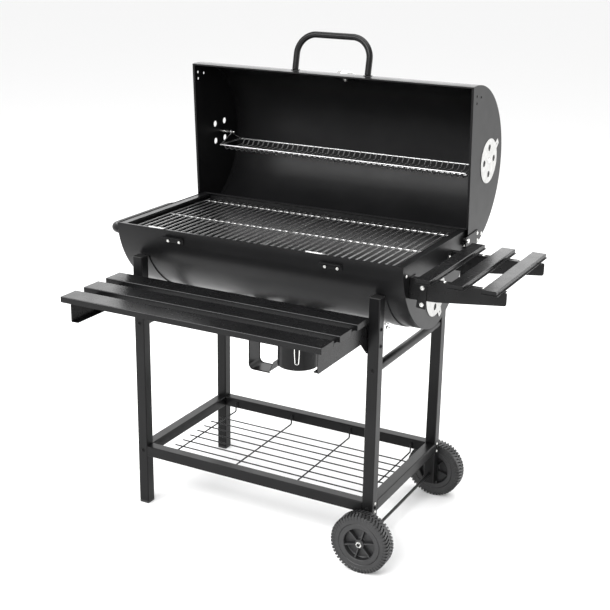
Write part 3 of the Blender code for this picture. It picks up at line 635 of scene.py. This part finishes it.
def make_wheels():
    shape = wheel_mesh()
    for end, sign, body in (("front", -1, "wheel_a"), ("rear", 1, "wheel_b")):
        turn = Matrix.Rotation(math.radians(90 if sign < 0 else -90), 4, "X")
        parts = [(shape, lie(LEG_X, sign * WHEEL_Y, WHEEL_RADIUS, turn))]
        piece(f"lugged_wheel_{end}", parts, WHEEL_PLASTIC, f"wheel_{end}", body, 28)
    end_y = 0.263
    half_profile = [(0, end_y), (0.0032, end_y), (0.004, end_y - 0.001)]
    axle = turned([(r, -y) for r, y in half_profile] + half_profile[::-1], 32)
    piece("axle_rod", [(axle, lie(LEG_X, 0, WHEEL_RADIUS, AXIS_Y))], COAT_FRAME, "axle")
    bore = circle(0.0042, 32)
    nut = flat([circle(0.008, 6), bore], 0.0048, 0.0006)
    washer = flat([circle(0.0105), bore], 0.0011, 0.0002)
    dome = turned([(0.0042, 0.0), (0.0042, 0.0032), (0.003, 0.0044), (0, 0.0048)], 32)
    for end, sign in ENDS:
        low, high = box_of(f"axle_nut_{end}")
        middle = (low.y + high.y) / 2
        turn = facing((0, sign, 0))
        parts = [
            (nut, lie(LEG_X, middle, WHEEL_RADIUS, turn)),
            (washer, lie(LEG_X, middle - sign * 0.003, WHEEL_RADIUS, turn)),
            (dome, lie(LEG_X, middle - sign * 0.001, WHEEL_RADIUS, turn)),
        ]
        piece(f"hub_nut_{end}", parts, BRIGHT, f"axle_nut_{end}")


# --- shelves


def slat_profile(half, lip):
    """Path of the folded sheet seen from its end: down one side, across the top, down the other."""
    return bend([(half, -lip), (half, 0), (-half, 0), (-half, -lip)], 0.0022, 5)


def make_front_shelf():
    profile = slat_profile(0.03, 0.0145)
    for i in (1, 2, 3):
        low, high = box_of(f"front_shelf_slat_{i}")
        centre = (low + high) / 2
        parts = [(folded(profile, 0.0014, high.x - low.x), lie(centre.x, centre.y, high.z, AXIS_X))]
        end = strip((-0.0285, -0.0145), (0.0285, -0.0005), 0.0015, 0.0013)
        for x in (low.x + 0.0009, high.x - 0.0009):
            parts.append((end, lie(x, centre.y, high.z - 0.0008, AXIS_X)))
        piece(f"front_slat_{i}", parts, COAT_SLATS, f"front_shelf_slat_{i}")
        # Thin lighter rod along the front top fold: a painted highlight line, not a real part.
        front, top = low.y + 0.0012, high.z - 0.0012
        fold = rod([(low.x + 0.001, front, top), (high.x - 0.001, front, top)], 0.0009)
        piece(f"front_slat_painted_highlight_{i}", [fold], FOLD_HIGHLIGHT_PAINT)
    make_front_brackets()


def make_front_brackets():
    bolts = []
    for side, sign in SIDES:
        low, high = box_of(f"front_shelf_bracket_{side}")
        x = low.x + 0.001 if side == "left" else high.x - 0.001
        top, bottom, front = high.z, high.z - 0.048, low.y
        outline = [
            (front, bottom), (-0.2495, bottom), (-0.2155, top - 0.081), (-0.1865, top - 0.081),
            (-0.1865, top), (front, top),
        ]
        web = plate(outline, [0.006, 0.012, 0.006, 0.006, 0.003, 0.003], edge=0.0004)
        parts = [(web, lie(x, 0, 0, AXIS_X))]
        lip = strip((0, 0), (-sign * 0.0145, 0.208), [0, 0.004, 0.004, 0], 0.0016, 0.0004)
        parts.append((lip, lie(x, front + 0.006, bottom + 0.0009)))
        flange = strip((0, 0), (-sign * 0.013, 0.245), [0, 0.003, 0.003, 0], 0.0015)
        parts.append((flange, lie(x, front + 0.002, top - 0.0009)))
        piece(f"shelf_bracket_{side}", parts, COAT_SLATS, f"front_shelf_bracket_{side}")
        bolt_x = x - 0.001 if side == "left" else LEG_X + HALF_TUBE
        for z in (top - 0.02, top - 0.062):
            bolts.append(((bolt_x, -LEG_Y, z), (sign, 0, 0)))
    fasteners("shelf_bracket_bolts", pan_head(0.0048), bolts, coat=COAT_FRAME)
    under = []
    for i in (1, 2, 3):
        low, high = box_of(f"front_shelf_slat_{i}")
        y = (low.y + high.y) / 2
        for x in (-0.3425, 0.3145):
            under.append(((x, y, 0.6395), (0, 0, -1)))
    fasteners("slat_screws", pan_head(0.0036), under)


def make_side_table():
    for i in (1, 2, 3):
        low, high = box_of(f"side_table_slat_{i}")
        centre = (low + high) / 2
        length, lip, flange, sheet = high.y - low.y, 0.0096, 0.0032, 0.0014
        half, x = (high.x - low.x - flange) / 2, centre.x - flange / 2
        place = lie(x, centre.y, high.z, AXIS_Y)
        parts = [(folded(slat_profile(half, lip), sheet, length - 0.005), place)]
        base = rectangle((-half, -lip - sheet), (half + flange, -lip), 0.0003, 2)
        parts.append((flat([base], length, 0.0002), place))
        edge = half - 0.0012
        end = strip((-edge, -lip), (edge, -0.001), 0.0012, 0.0013)
        for sign in (-1, 1):
            parts.append((end, lie(x, centre.y + sign * (length / 2 - 0.0034), high.z, AXIS_Y)))
        piece(f"side_slat_{i}", parts, COAT_SLATS, f"side_table_slat_{i}")
        # Thin lighter rods along the top and outer folds: painted highlight lines, not real parts.
        near, far = low.y + 0.003, high.y - 0.003
        fold_highlights = []
        for across, down in ((x + half - 0.0011, 0.0012), (high.x - 0.001, lip + 0.0008)):
            fold_highlights.append(rod([(across, near, high.z - down), (across, far, high.z - down)], 0.0008))
        piece(f"side_slat_painted_highlight_{i}", fold_highlights, FOLD_HIGHLIGHT_PAINT)
    make_side_brackets()


def make_side_brackets():
    """Folded arms: a foot against the bowl's end, a deep web and a narrow top flange."""
    arm_bolts, foot_bolts = [], []
    for end, inward in (("front", 1), ("rear", -1)):
        low, high = box_of(f"side_table_bracket_{end}")
        face = low.y + 0.001 if end == "front" else high.y - 0.001
        top, inner, outer, width = high.z, low.x, high.x, high.y - low.y
        web = [
            (inner, top - 0.052), (inner + 0.067, top - 0.05), (outer, top - 0.031), (outer, top),
            (inner, top),
        ]
        web = plate(web, [0.002, 0.03, 0.006, 0.003, 0.001], edge=0.0004)
        parts = [(web, lie(0, face, 0, AXIS_Y))]
        foot = [
            (0, top - 0.052), (inward * width, top - 0.05), (inward * width, top - 0.001),
            (0, top - 0.001),
        ]
        foot = plate(foot, [0, 0.005, 0.005, 0], edge=0.0004)
        parts.append((foot, lie(inner + 0.001, face, 0, AXIS_X)))
        flange = rectangle((inner + 0.004, 0), (outer - 0.005, inward * 0.016), 0.002)
        parts.append((flat([flange], 0.0014), lie(0, face, top - 0.0009)))
        piece(f"side_bracket_{end}", parts, COAT_SLATS, f"side_table_bracket_{end}")
        outward = (0, -inward, 0)
        gusset = [
            (inner + 0.02, top - 0.069), (inner + 0.045, top - 0.071),
            (inner + 0.045, top - 0.008), (inner + 0.027, top - 0.008),
        ]
        sheet = plate(gusset, [0.003, 0.003, 0.001, 0.001], edge=0.0004)
        parts = [(sheet, lie(0, face - inward * 0.0021, 0, AXIS_Y))]
        piece(f"side_bracket_gusset_{end}", parts, COAT_SLATS)
        for z in (top - 0.02, top - 0.0605):
            arm_bolts.append(((inner + 0.034, face - inward * 0.0031, z), outward))
        for z in (top - 0.012, top - 0.04):
            foot_bolts.append(((inner + 0.002, face + inward * width * 0.62, z), (1, 0, 0)))
        foot_bolts.append(((0.4845, face + inward * 0.0085, top - 0.0002), (0, 0, 1)))
        foot_bolts.append(((0.5795, face + inward * 0.006, top - 0.0002), (0, 0, 1)))
    fasteners("side_bracket_bolts", pan_head(0.0044), arm_bolts)
    fasteners("side_bracket_foot_bolts", pan_head(0.0042), foot_bolts)


# --- bowl


def make_bowl():
    profile = [bowl_point(angle - math.tau) for angle in angles(180, 360, 120)]
    shell = hang_from(profile, -HALF_LENGTH + SHEET, HALF_LENGTH - SHEET, SHEET)
    bowl = piece("bowl_sheet", [shell], COAT, "bowl_shell")
    hole = turned([(0, -0.03), (0.044, -0.03), (0.044, 0.03), (0, 0.03)], 64)
    cut_out(bowl, hole, lie(0.022, 0, RIM_Z - BOWL_DEPTH))
    roll = []
    for sign in (-1, 1):
        y = sign * (HALF_DEPTH - 0.0024)
        end, z = HALF_LENGTH - 0.002, RIM_Z - 0.002
        roll.append(rod([(-end, y, z), (end, y, z)], 0.0019))
        end = HALF_LENGTH - 0.021
        fold = strip((-end, 0), (end, sign * 0.0065), 0.001, 0.0012)
        roll.append((fold, lie(0, y - sign * 0.0075, RIM_Z - 0.0016)))
    piece("bowl_rolled_rims", roll, COAT)
    for side, sign in SIDES:
        make_bowl_end(side, sign, profile)
    make_lid_rests()
    make_grates()


def cut_out(obj, mesh, matrix):
    """Cuts a shape out of a piece for good."""
    tool = bpy.data.objects.new("tool", mesh)
    mesh.transform(matrix)
    scene.collection.objects.link(tool)
    change = obj.modifiers.new("cut", "BOOLEAN")
    change.operation = "DIFFERENCE"
    change.solver = "EXACT"
    change.object = tool
    bpy.context.view_layer.update()
    graph = bpy.context.evaluated_depsgraph_get()
    made = bpy.data.meshes.new_from_object(obj.evaluated_get(graph))
    obj.modifiers.remove(change)
    obj.data = made
    bpy.data.objects.remove(tool)


def air_holes(first_at, z=0.0, radius=AIR_HOLE):
    """The four holes of a vent, the first one at an angle in degrees."""
    centres = circle(AIR_RING, 4, (0, z), math.radians(first_at))
    return [circle(radius, 40, centre) for centre in centres]


def make_bowl_end(side, sign, profile):
    holes = [circle(PIN_HOLE, 24, (HINGE_Y, HINGE_Z))]
    if side == "right":
        holes += air_holes(45, BOWL_VENT_Z)
        holes.append(circle(PIN_HOLE, 24, (0, BOWL_VENT_Z)))
    x = sign * (HALF_LENGTH - 0.0008)
    parts = [(flat([profile, *holes], 0.0014, 0.0004), lie(x, 0, 0, AXIS_X))]
    reach = HALF_DEPTH - 0.0045
    ledge = [(0, -0.0016), (0, 0), (sign * -0.02, 0), (sign * -0.02, -0.006)]
    ledge = folded(ledge[::sign], 0.0012, 2 * reach)
    parts.append((ledge, lie(sign * (HALF_LENGTH - 0.0014), 0, RIM_Z - 0.0014, AXIS_Y)))
    piece(f"bowl_end_sheet_{side}", parts, COAT, f"bowl_end_{side}")
    screws = ((-0.186, 0.755), (0.186, 0.742))
    heads = [((sign * HALF_LENGTH, y, z), (sign, 0, 0)) for y, z in screws]
    fasteners(f"bowl_end_screws_{side}", pan_head(0.0034), heads)
    spacer = turned([(0.0035, 0), (0.0085, 0), (0.0085, 0.0066), (0.0035, 0.0066)], 32, True)
    head = [(0, 0), (0.0062, 0), (0.0062, 0.0022), (0.005, 0.0036), (0.0024, 0.0042), (0, 0.0042)]
    stem = turned([(0, -0.024), (0.003, -0.024), (0.003, 0.001), (0, 0.001)], 24)
    turn = facing((sign, 0, 0))
    collar = [(spacer, lie(sign * (HALF_LENGTH + 0.0003), HINGE_Y, HINGE_Z, turn))]
    piece(f"hinge_spacer_{side}", collar, COAT_FRAME)
    place = lie(sign * (LID_HALF + 0.0031), HINGE_Y, HINGE_Z, turn)
    pin = [(turned(head, 32), place), (stem, place)]
    piece(f"hinge_bolt_{side}", pin, BRIGHT, f"hinge_pin_{side}")


def make_lid_rests():
    for side in ("left", "right"):
        low, high = box_of(f"lid_rest_{side}")
        wall, top, x = high.y, high.z, (low.x + high.x) / 2
        hook = [
            (wall - 0.0125, top), (wall - 0.0028, top - 0.0002), (wall - 0.0008, top - 0.0016),
            (wall, top - 0.0035), (wall, top - 0.014),
        ]
        parts = [hang_from(hook, low.x, high.x, 0.0016)]
        piece(f"lid_rest_tab_{side}", parts, COAT, f"lid_rest_{side}")
        heads = [((x + dx, wall - 0.0016, top - 0.01), (0, -1, 0)) for dx in (-0.0165, 0.0165)]
        fasteners(f"lid_rest_bolts_{side}", pan_head(0.0031), heads)


def make_grates():
    half, level = 0.19, 0.766
    top, rim_y = RIM_Z + 0.0025, -HALF_DEPTH - 0.0008
    for side, loop in (("left", -0.303), ("right", 0.147)):
        low, high = box_of(f"cooking_grate_{side}")
        parts = []
        for x in spaced(low.x + 0.002, high.x - 0.002, 20):
            parts.append(rod([(x, -half, level), (x, half, level)], 0.0019))
        for y in (-half + 0.01, 0, half - 0.01):
            parts.append(rod([(low.x, y, level - 0.0037), (high.x, y, level - 0.0037)], 0.0021))
        grip = [(-half + 0.02, level - 0.001), (rim_y + 0.014, top - 0.004), (rim_y, top)]
        path = [(loop, y, z) for y, z in grip] + [(loop + 0.046, y, z) for y, z in grip[::-1]]
        parts.append(rod(bend(path, 0.004, 4), 0.0019))
        name = f"cooking_grate_{side}"
        piece(f"cooking_grate_wires_{side}", parts, CHROME, name, f"grate_{side}")
    low, high = box_of("charcoal_grate")
    half, level = (high.y - low.y) / 2, (low.z + high.z) / 2
    bar = strip((-0.0125, -half), (0.0125, half), 0.002, 0.0028)
    parts = [(bar, lie(x, 0, level + 0.0012)) for x in spaced(low.x + 0.0125, high.x - 0.0125, 19)]
    for y in (-half + 0.008, 0, half - 0.008):
        parts.append(rod([(low.x, y, level - 0.0014), (high.x, y, level - 0.0014)], 0.0016))
    piece("charcoal_grate_bars", parts, COAL_STEEL, "charcoal_grate")


def make_carry_handle():
    low, high = box_of("carry_handle")
    radius = (high.z - low.z) / 2
    z = (high.z + low.z) / 2
    wall, reach = -HALF_LENGTH - 0.0004, low.x + radius
    half = (high.y - low.y) / 2 - radius
    path = bend([(wall, -half, z), (reach, -half, z), (reach, half, z), (wall, half, z)], 0.036, 14)
    parts = [rod(path, radius - 0.0002, 8)]
    collar = [(0, 0), (0.0045, 0), (0.0045, 0.0012), (0.001, 0.0035), (0, 0.0035)]
    collar = turned([(radius + r, z) for r, z in collar], 48, True)
    for y in (-half, half):
        parts.append((collar, lie(wall, y, z, facing((-1, 0, 0)))))
    piece("carry_handle_tube", parts, COAT, "carry_handle")


def vent_mesh(tab_angle, holes_at):
    """Round damper plate with a thumb tab, four air holes, a small hole in the tab and a hole in
    the middle.
    """
    tab, half_tab, steps = math.radians(tab_angle), math.radians(10), 90
    edge = []
    for i in range(steps + 1):
        a = tab + half_tab + (math.tau - 2 * half_tab) * i / steps
        edge.append(polar(VENT_RADIUS, a))
    reach = VENT_RADIUS + 0.018
    for k in range(7):
        a = tab - half_tab * 0.62 + half_tab * 1.24 * k / 6
        edge.append(polar(reach + 0.0008 * math.sin(math.pi * k / 6), a))
    holes = air_holes(holes_at)
    tab_hole = circle(0.0028, 24, polar(VENT_RADIUS + 0.007, tab))
    return flat([edge, *holes, tab_hole, circle(0.0034, 24)], 0.0012, 0.00025)


def make_vent(name, body, stands_for, x, sign, z, tab_angle, holes_at):
    parts = [(vent_mesh(tab_angle, holes_at), lie(x, 0, z, AXIS_X))]
    boss = turned([(0.0034, 0.0006), (0.0105, 0.0006), (0.0092, 0.0016), (0.0034, 0.002)], 48, True)
    parts.append((boss, lie(x, 0, z, facing((sign, 0, 0)))))
    piece(name, parts, ZINC, stands_for, body)


def make_bowl_vent():
    x = HALF_LENGTH + 0.0009
    make_vent("bowl_damper", "vent_bowl", "bowl_vent", x, 1, BOWL_VENT_Z, -60, 0)
    shank = [(0, -0.004), (0.003, -0.004), (0.003, 0.002)]
    rivet = [*shank, (0.0055, 0.0022), (0.0046, 0.004), (0, 0.0048)]
    parts = [(turned(rivet, 32), lie(x, 0, BOWL_VENT_Z, facing((1, 0, 0))))]
    piece("bowl_damper_rivet", parts, BRIGHT)


# --- ash bucket


def make_bucket():
    low, high = box_of("ash_bucket")
    radius, height = (high.x - low.x) / 2, high.z - low.z
    x = (low.x + high.x) / 2
    profile = [
        (0, 0.0022), (radius - 0.01, 0.0022), (radius - 0.0075, 0), (radius - 0.002, 0),
        (radius - 0.0008, 0.0012), (radius - 0.0012, height - 0.007), (radius, height - 0.005),
        (radius, height - 0.001), (radius - SHEET, height), (radius - 2 * SHEET, height - 0.002),
        (radius - 0.0024, 0.0036), (0, 0.0036),
    ]
    piece("ash_bucket_can", [(turned(profile, 96), lie(x, 0, low.z))], COAT, "ash_bucket", "bucket")
    low, high = box_of("ash_bucket_handle")
    near, far, bottom, top = high.x, low.x, low.z, high.z
    foot = [(near - 0.014, bottom), (near, bottom + 0.034)]
    corners = [(near, top), (far, top), (far, bottom), *foot]
    width, rim = high.y - low.y, 0.0012
    strap = folded(bend(corners, (0.016, 0.016, 0.012), 10), 0.0016, width, 0.0005)
    parts = [(strap, lie(0, 0, 0, AXIS_Y))]
    for edge in (0.0016 - width / 2, width / 2 - 0.0016):
        rail = [
            (near, edge, top - rim), (far + rim, edge, top - rim), (far + rim, edge, bottom + rim),
            (near - 0.013, edge, bottom + rim),
        ]
        parts.append(rod(bend(rail, 0.015), 0.0017))
    piece("ash_bucket_grip", parts, COAT, "ash_bucket_handle", "bucket")
    low, high = box_of("ash_collar")
    radius = (high.x - low.x) / 2
    profile = [
        (radius - 0.009, low.z), (radius, low.z), (radius, low.z + 0.004),
        (radius - 0.0015, low.z + 0.006), (radius - 0.0015, high.z + 0.004),
        (radius - 0.009, high.z + 0.004),
    ]
    ring = piece("ash_throat", [(turned(profile, 96, True), lie(x, 0, 0))], COAT, "ash_collar")
    inside = [bowl_point(angle - math.tau, 0.0003) for angle in angles(180, 360, 120)]
    cut_out(ring, flat([inside], 0.3, 0.0001), lie(x, 0, 0, AXIS_X))
    for side in ("front", "rear"):
        make_clip(side)


def make_clip(side):
    low, high = box_of(f"bucket_clip_{side}")
    radius = 0.0013
    left, right, y = low.x + radius, high.x - radius, (low.y + high.y) / 2
    bottom, top = low.z + radius, high.z
    path = [
        (left, y, top), (left, y, bottom + 0.03), (left + 0.002, y, bottom),
        (right - 0.002, y, bottom), (right, y, bottom + 0.03), (right, y, top),
    ]
    parts = [rod(bend(path, 0.004, 5), radius)]
    cad, body = f"bucket_clip_{side}", f"clip_{side}"
    piece(f"bucket_clip_wire_{side}", parts, BRIGHT, cad, body)


# --- lid


def lid_arc(start, end, radius=LID_RADIUS):
    return [polar(radius, a, (0, RIM_Z)) for a in angles(start, end, 120)]


def make_lid():
    drop = math.degrees(math.asin(LID_OVERLAP / LID_RADIUS))
    shell = hang_from(lid_arc(0.6, 180 + drop), -LID_HALF + SHEET, LID_HALF - SHEET, SHEET)
    piece("lid_sheet", [shell], COAT, "lid_shell", "lid")
    hem, end = [], LID_HALF - 0.002
    for angle in (180 + drop - 0.7, 1.2):
        y, z = polar(LID_RADIUS - 0.0026, math.radians(angle), (0, RIM_Z))
        hem.append(rod([(-end, y, z), (end, y, z)], 0.0015))
    lip_y, lip_z = polar(LID_RADIUS, math.radians(180 + drop), (0, RIM_Z))
    fold = strip((-end, 0), (end, 0.0032), 0.0008, 0.0012)
    hem.append((fold, lie(0, lip_y + 0.0006, lip_z + 0.0008)))
    piece("lid_hems", hem, COAT, body="lid")
    for side, sign in SIDES:
        make_lid_end(side, sign, drop)
    make_lid_handle()
    make_thermometer()
    make_rack()


def make_lid_end(side, sign, drop):
    outline = lid_arc(-drop, 180 + drop)
    holes = air_holes(45, VENT_Z, AIR_HOLE + 0.0003)
    holes.append(circle(PIN_HOLE, 24, (0, VENT_Z)))
    holes += [circle(0.0034, 24, place) for place in CORNER_HOLES]
    x = sign * (LID_HALF - 0.0007)
    parts = [(flat([outline, *holes], 0.0014, 0.0004), lie(x, 0, 0, AXIS_X))]
    flange = folded(lid_arc(1.5, 178.5, LID_RADIUS - 0.0016), 0.0011, 0.01)
    parts.append((flange, lie(sign * (LID_HALF - 0.0062), 0, 0, AXIS_X)))
    edge = LID_RADIUS * math.cos(math.radians(drop)) - 0.0015
    band = strip((0, -edge), (sign * -0.0052, 0.15), 0.0006, 0.0014)
    parts.append((band, lie(sign * (LID_HALF - 0.0008), 0, RIM_Z - LID_OVERLAP + 0.0012)))
    piece(f"lid_end_sheet_{side}", parts, COAT, f"lid_end_{side}", "lid")
    strap = [
        (-0.011, -0.011), (0.013, -0.011), (0.026, 0.06), (0.026, 0.078), (0.013, 0.107),
        (0.001, 0.107), (-0.01, 0.074),
    ]
    strap = [(HINGE_Y + y, HINGE_Z + z) for y, z in strap]
    strap = rounded(strap, [0.009, 0.009, 0.008, 0.008, 0.006, 0.006, 0.008])
    thick = 0.0025
    x = sign * (LID_HALF + 0.0003 + thick / 2)
    pin_hole = circle(PIN_HOLE, 24, (HINGE_Y, HINGE_Z))
    parts = [(flat([strap, pin_hole], thick, 0.0005), lie(x, 0, 0, AXIS_X))]
    piece(f"hinge_strap_plate_{side}", parts, COAT, f"hinge_strap_{side}", "lid")
    heads = [((sign * (LID_HALF + 0.0028), y, z), (sign, 0, 0)) for y, z in STRAP_BOLTS]
    fasteners(f"hinge_strap_bolts_{side}", pan_head(0.004), heads, "lid")
    tab, holes_at = (122, 0) if side == "right" else (77, 45)
    x = sign * (LID_HALF + 0.0009)
    names = f"lid_damper_{side}", f"vent_{side}", f"lid_vent_{side}"
    make_vent(*names, x, sign, VENT_Z, tab, holes_at)
    pin = [
        (0, -0.049), (0.0034, -0.049), (0.004, -0.0478), (0.004, -0.046), (0.003, -0.045),
        (0.003, 0.0022), (0.0058, 0.0024), (0.005, 0.004), (0, 0.0049),
    ]
    parts = [(turned(pin, 32), lie(sign * LID_HALF, 0, VENT_Z, facing((sign, 0, 0))))]
    piece(f"lid_damper_pin_{side}", parts, BRIGHT, f"vent_pin_{side}", "lid")


def make_lid_handle():
    half, reach, radius, lean = 0.106, 0.093, 0.0085, math.radians(14)
    foot_z = RIM_Z + 0.019
    foot_y = -math.sqrt(LID_RADIUS**2 - 0.019**2) - 0.0023
    far_y, far_z = foot_y - reach * math.cos(lean), foot_z + reach * math.sin(lean)
    corners = [(-half, foot_y, foot_z), (-half, far_y, far_z)]
    corners += [(half, far_y, far_z), (half, foot_y, foot_z)]
    parts = [rod(bend(corners, 0.053, 18), radius - 0.0001, 8)]
    piece("lid_handle_tube", parts, HANDLE, "lid_handle", "lid")
    washers, inner = [], []
    rim = [(radius + 0.0035, 0), (radius + 0.004, 0.0006), (radius + 0.003, 0.0016)]
    ring = [(0, 0), *rim, (0, 0.0016)]
    ring = turned(ring, 48)
    for x in (-half, half):
        washers.append((ring, lie(x, foot_y + 0.002, foot_z, facing((0, -1, 0)))))
        inner.append(((x, foot_y + 0.0042, foot_z), (0, 1, 0)))
    piece("lid_handle_washers", washers, HANDLE, body="lid")
    fasteners("lid_handle_screws", pan_head(0.0048), inner, "lid", COAT_FRAME)


def make_thermometer():
    outward = Vector((0, *polar(1, math.radians(150))))
    foot = Vector((0, LID_RADIUS * outward.y, RIM_Z + LID_RADIUS * outward.z))
    turn = facing(outward)

    def seat(height):
        place = foot + outward * height
        return lie(place.x, place.y, place.z, turn)

    case = [
        (0, 0.0004), (0.0245, 0.0004), (0.0265, 0.003), (0.027, 0.0085), (0.0262, 0.0112),
        (0.025, 0.012), (0.0238, 0.0116), (0.0232, 0.0098), (0, 0.0098),
    ]
    stem = turned([(0, 0.001), (0.0052, 0.001), (0.0052, -0.001), (0.003, -0.01), (0, -0.01)], 24)
    nut = flat([circle(0.0075, 6), circle(0.0048, 24)], 0.0032, 0.0004)
    parts = [(turned(case, 96), seat(0)), (stem, seat(0)), (nut, seat(-0.0052))]
    piece("thermometer_bezel", parts, BRIGHT, "thermometer_case", "lid")
    edge = [(0.0235, -0.0034), (0.0262, -0.0042), (0.0262, -0.0014)]
    washer = [(0.0052, -0.0034), *edge, (0.0052, -0.0014)]
    piece("thermometer_washer", [(turned(washer, 64, True), seat(0))], COAT_FRAME, body="lid")
    face = turned([(0, 0.0099), (0.023, 0.0099), (0.023, 0.0102), (0, 0.0102)], 96)
    piece("thermometer_dial", [(face, seat(0))], DIAL, body="lid")
    ticks = []
    for i in range(28):
        inner = 0.0192 if i % 3 else 0.0175
        mark = strip((-0.0003, inner), (0.0003, 0.0212), 0, 0.0002, 0.00005)
        ticks.append((mark, seat(0.01025) @ spun(math.radians(-135 + i * 10))))
    piece("thermometer_ticks", ticks, DIAL_INK, body="lid")
    hand = [(-0.0013, -0.0055), (0.0013, -0.0055), (0.0004, 0.017), (-0.0004, 0.017)]
    hand = flat([rounded(hand, 0.0002, 2), circle(0.0004, 8)], 0.0005, 0.0001)
    hub = turned([(0, 0), (0.0022, 0), (0.0018, 0.0008), (0, 0.0009)], 24)
    parts = [(hand, seat(0.0107)), (hub, seat(0.0104))]
    piece("thermometer_hand", parts, NEEDLE_RED, "thermometer_needle", "needle")
    glass = turned([(0, 0.0114), (0.0236, 0.0112), (0.0236, 0.0118), (0, 0.0122)], 64)
    piece("thermometer_glass", [(glass, seat(0))], GLASS, body="lid")


def make_rack():
    low, high = box_of("warming_rack")
    vent_low, vent_high = box_of("vent_pin_right")
    pin = ((vent_low.y + vent_high.y) / 2, (vent_low.z + vent_high.z) / 2)
    front, rear, rail, end = low.y + 0.002, high.y - 0.002, pin[1] - 0.028, 0.371
    loop = [(-end, front), (end, front), (end, rear), (-end, rear), (-end, front)]
    parts = [rod(bend([(x, y, rail) for x, y in loop], 0.006, 4), 0.0021)]
    for x in spaced(-end + 0.012, end - 0.012, 45):
        path = [
            (x, front + 0.0006, rail), (x, front + 0.012, rail - 0.013),
            (x, rear - 0.012, rail - 0.013), (x, rear - 0.0006, rail),
        ]
        parts.append(rod(bend(path, 0.004, 3), 0.0017, 3))
    middle = (front + rear) / 2
    brace = [(-end + 0.01, middle, rail - 0.016), (end - 0.01, middle, rail - 0.016)]
    parts.append(rod(brace, 0.0015, 3))
    for sign in (-1, 1):
        x = sign * (end - 0.001)
        eye = [(x, *polar(0.0045, a, pin)) for a in angles(-60, 240, 16)]
        path = [(x, rear - 0.002, rail), *eye, (x, front + 0.002, rail)]
        parts.append(rod(path, 0.0017))
    piece("warming_rack_wires", parts, CHROME, "warming_rack", "rack")


# --- studio


def area_light(name, place, target, size, power, size_y=None):
    data = bpy.data.lights.new(name, "AREA")
    data.energy = power
    data.size = size
    if size_y:
        data.shape = "RECTANGLE"
        data.size_y = size_y
    obj = bpy.data.objects.new(name, data)
    obj.location = place
    obj.rotation_euler = (Vector(target) - Vector(place)).to_track_quat("-Z", "Y").to_euler()
    obj.visible_camera = False
    scene.collection.objects.link(obj)


def make_studio():
    floor_mesh = bpy.data.meshes.new("studio_floor")
    shape = bmesh.new()
    bmesh.ops.create_grid(shape, x_segments=1, y_segments=1, size=30)
    shape.to_mesh(floor_mesh)
    shape.free()
    floor = bpy.data.objects.new("studio_floor", floor_mesh)
    floor.location = (0, 0, -0.0005)
    scene.collection.objects.link(floor)
    paint, tree, shader = new_material("studio_white", (0.92, 0.92, 0.92), 0.9)
    spread_value(tree, noise(tree, 3, 2), 0.88, 0.94, shader.inputs["Roughness"])
    floor_mesh.materials.append(paint)
    world = bpy.data.worlds.new("studio")
    scene.world = world
    world.use_nodes = True
    world.node_tree.nodes["Background"].inputs["Color"].default_value = (1, 1, 1, 1)
    world.node_tree.nodes["Background"].inputs["Strength"].default_value = 1.0
    area_light("front_softbox", (-0.8, -3.2, 3.1), (0, 0, 0.8), 4.4, 210, size_y=1.3)
    area_light("top_softbox", (0.2, 0.1, 3.2), (0, 0, 0.7), 2.4, 80)
    area_light("rear_softbox", (-1.2, 3.4, 2.0), (0, 0, 0.9), 4.4, 40, size_y=1.5)
    area_light("right_softbox", (2.6, 2.4, 0.95), (0.4, 0.1, 0.9), 2.0, 30, size_y=1.6)
    scene.view_settings.view_transform = "Standard"


def make_camera():
    data = bpy.data.cameras.new("camera")
    data.lens = 70.5
    data.sensor_width = 36
    data.sensor_fit = "HORIZONTAL"
    camera = bpy.data.objects.new("camera", data)
    scene.collection.objects.link(camera)
    azimuth, elevation, roll = math.radians(27.815), math.radians(18.302), math.radians(0.941)
    right = Vector((math.cos(azimuth), math.sin(azimuth), 0))
    level = Vector((math.sin(azimuth), -math.cos(azimuth), 0))
    back = level * math.cos(elevation) + Vector((0, 0, math.sin(elevation)))
    up = back.cross(right)
    across = right * math.cos(roll) + up * math.sin(roll)
    above = up * math.cos(roll) - right * math.sin(roll)
    turn = Matrix((across, above, back)).transposed().to_4x4()
    camera.matrix_world = Matrix.Translation(at(1.4196, -2.6153, 1.5504)) @ turn
    scene.camera = camera


make_camera()
make_trolley()
make_wire_shelf()
make_cradles()
make_wheels()
make_front_shelf()
make_side_table()
make_bowl()
make_carry_handle()
make_bowl_vent()
make_bucket()
make_lid()
make_studio()
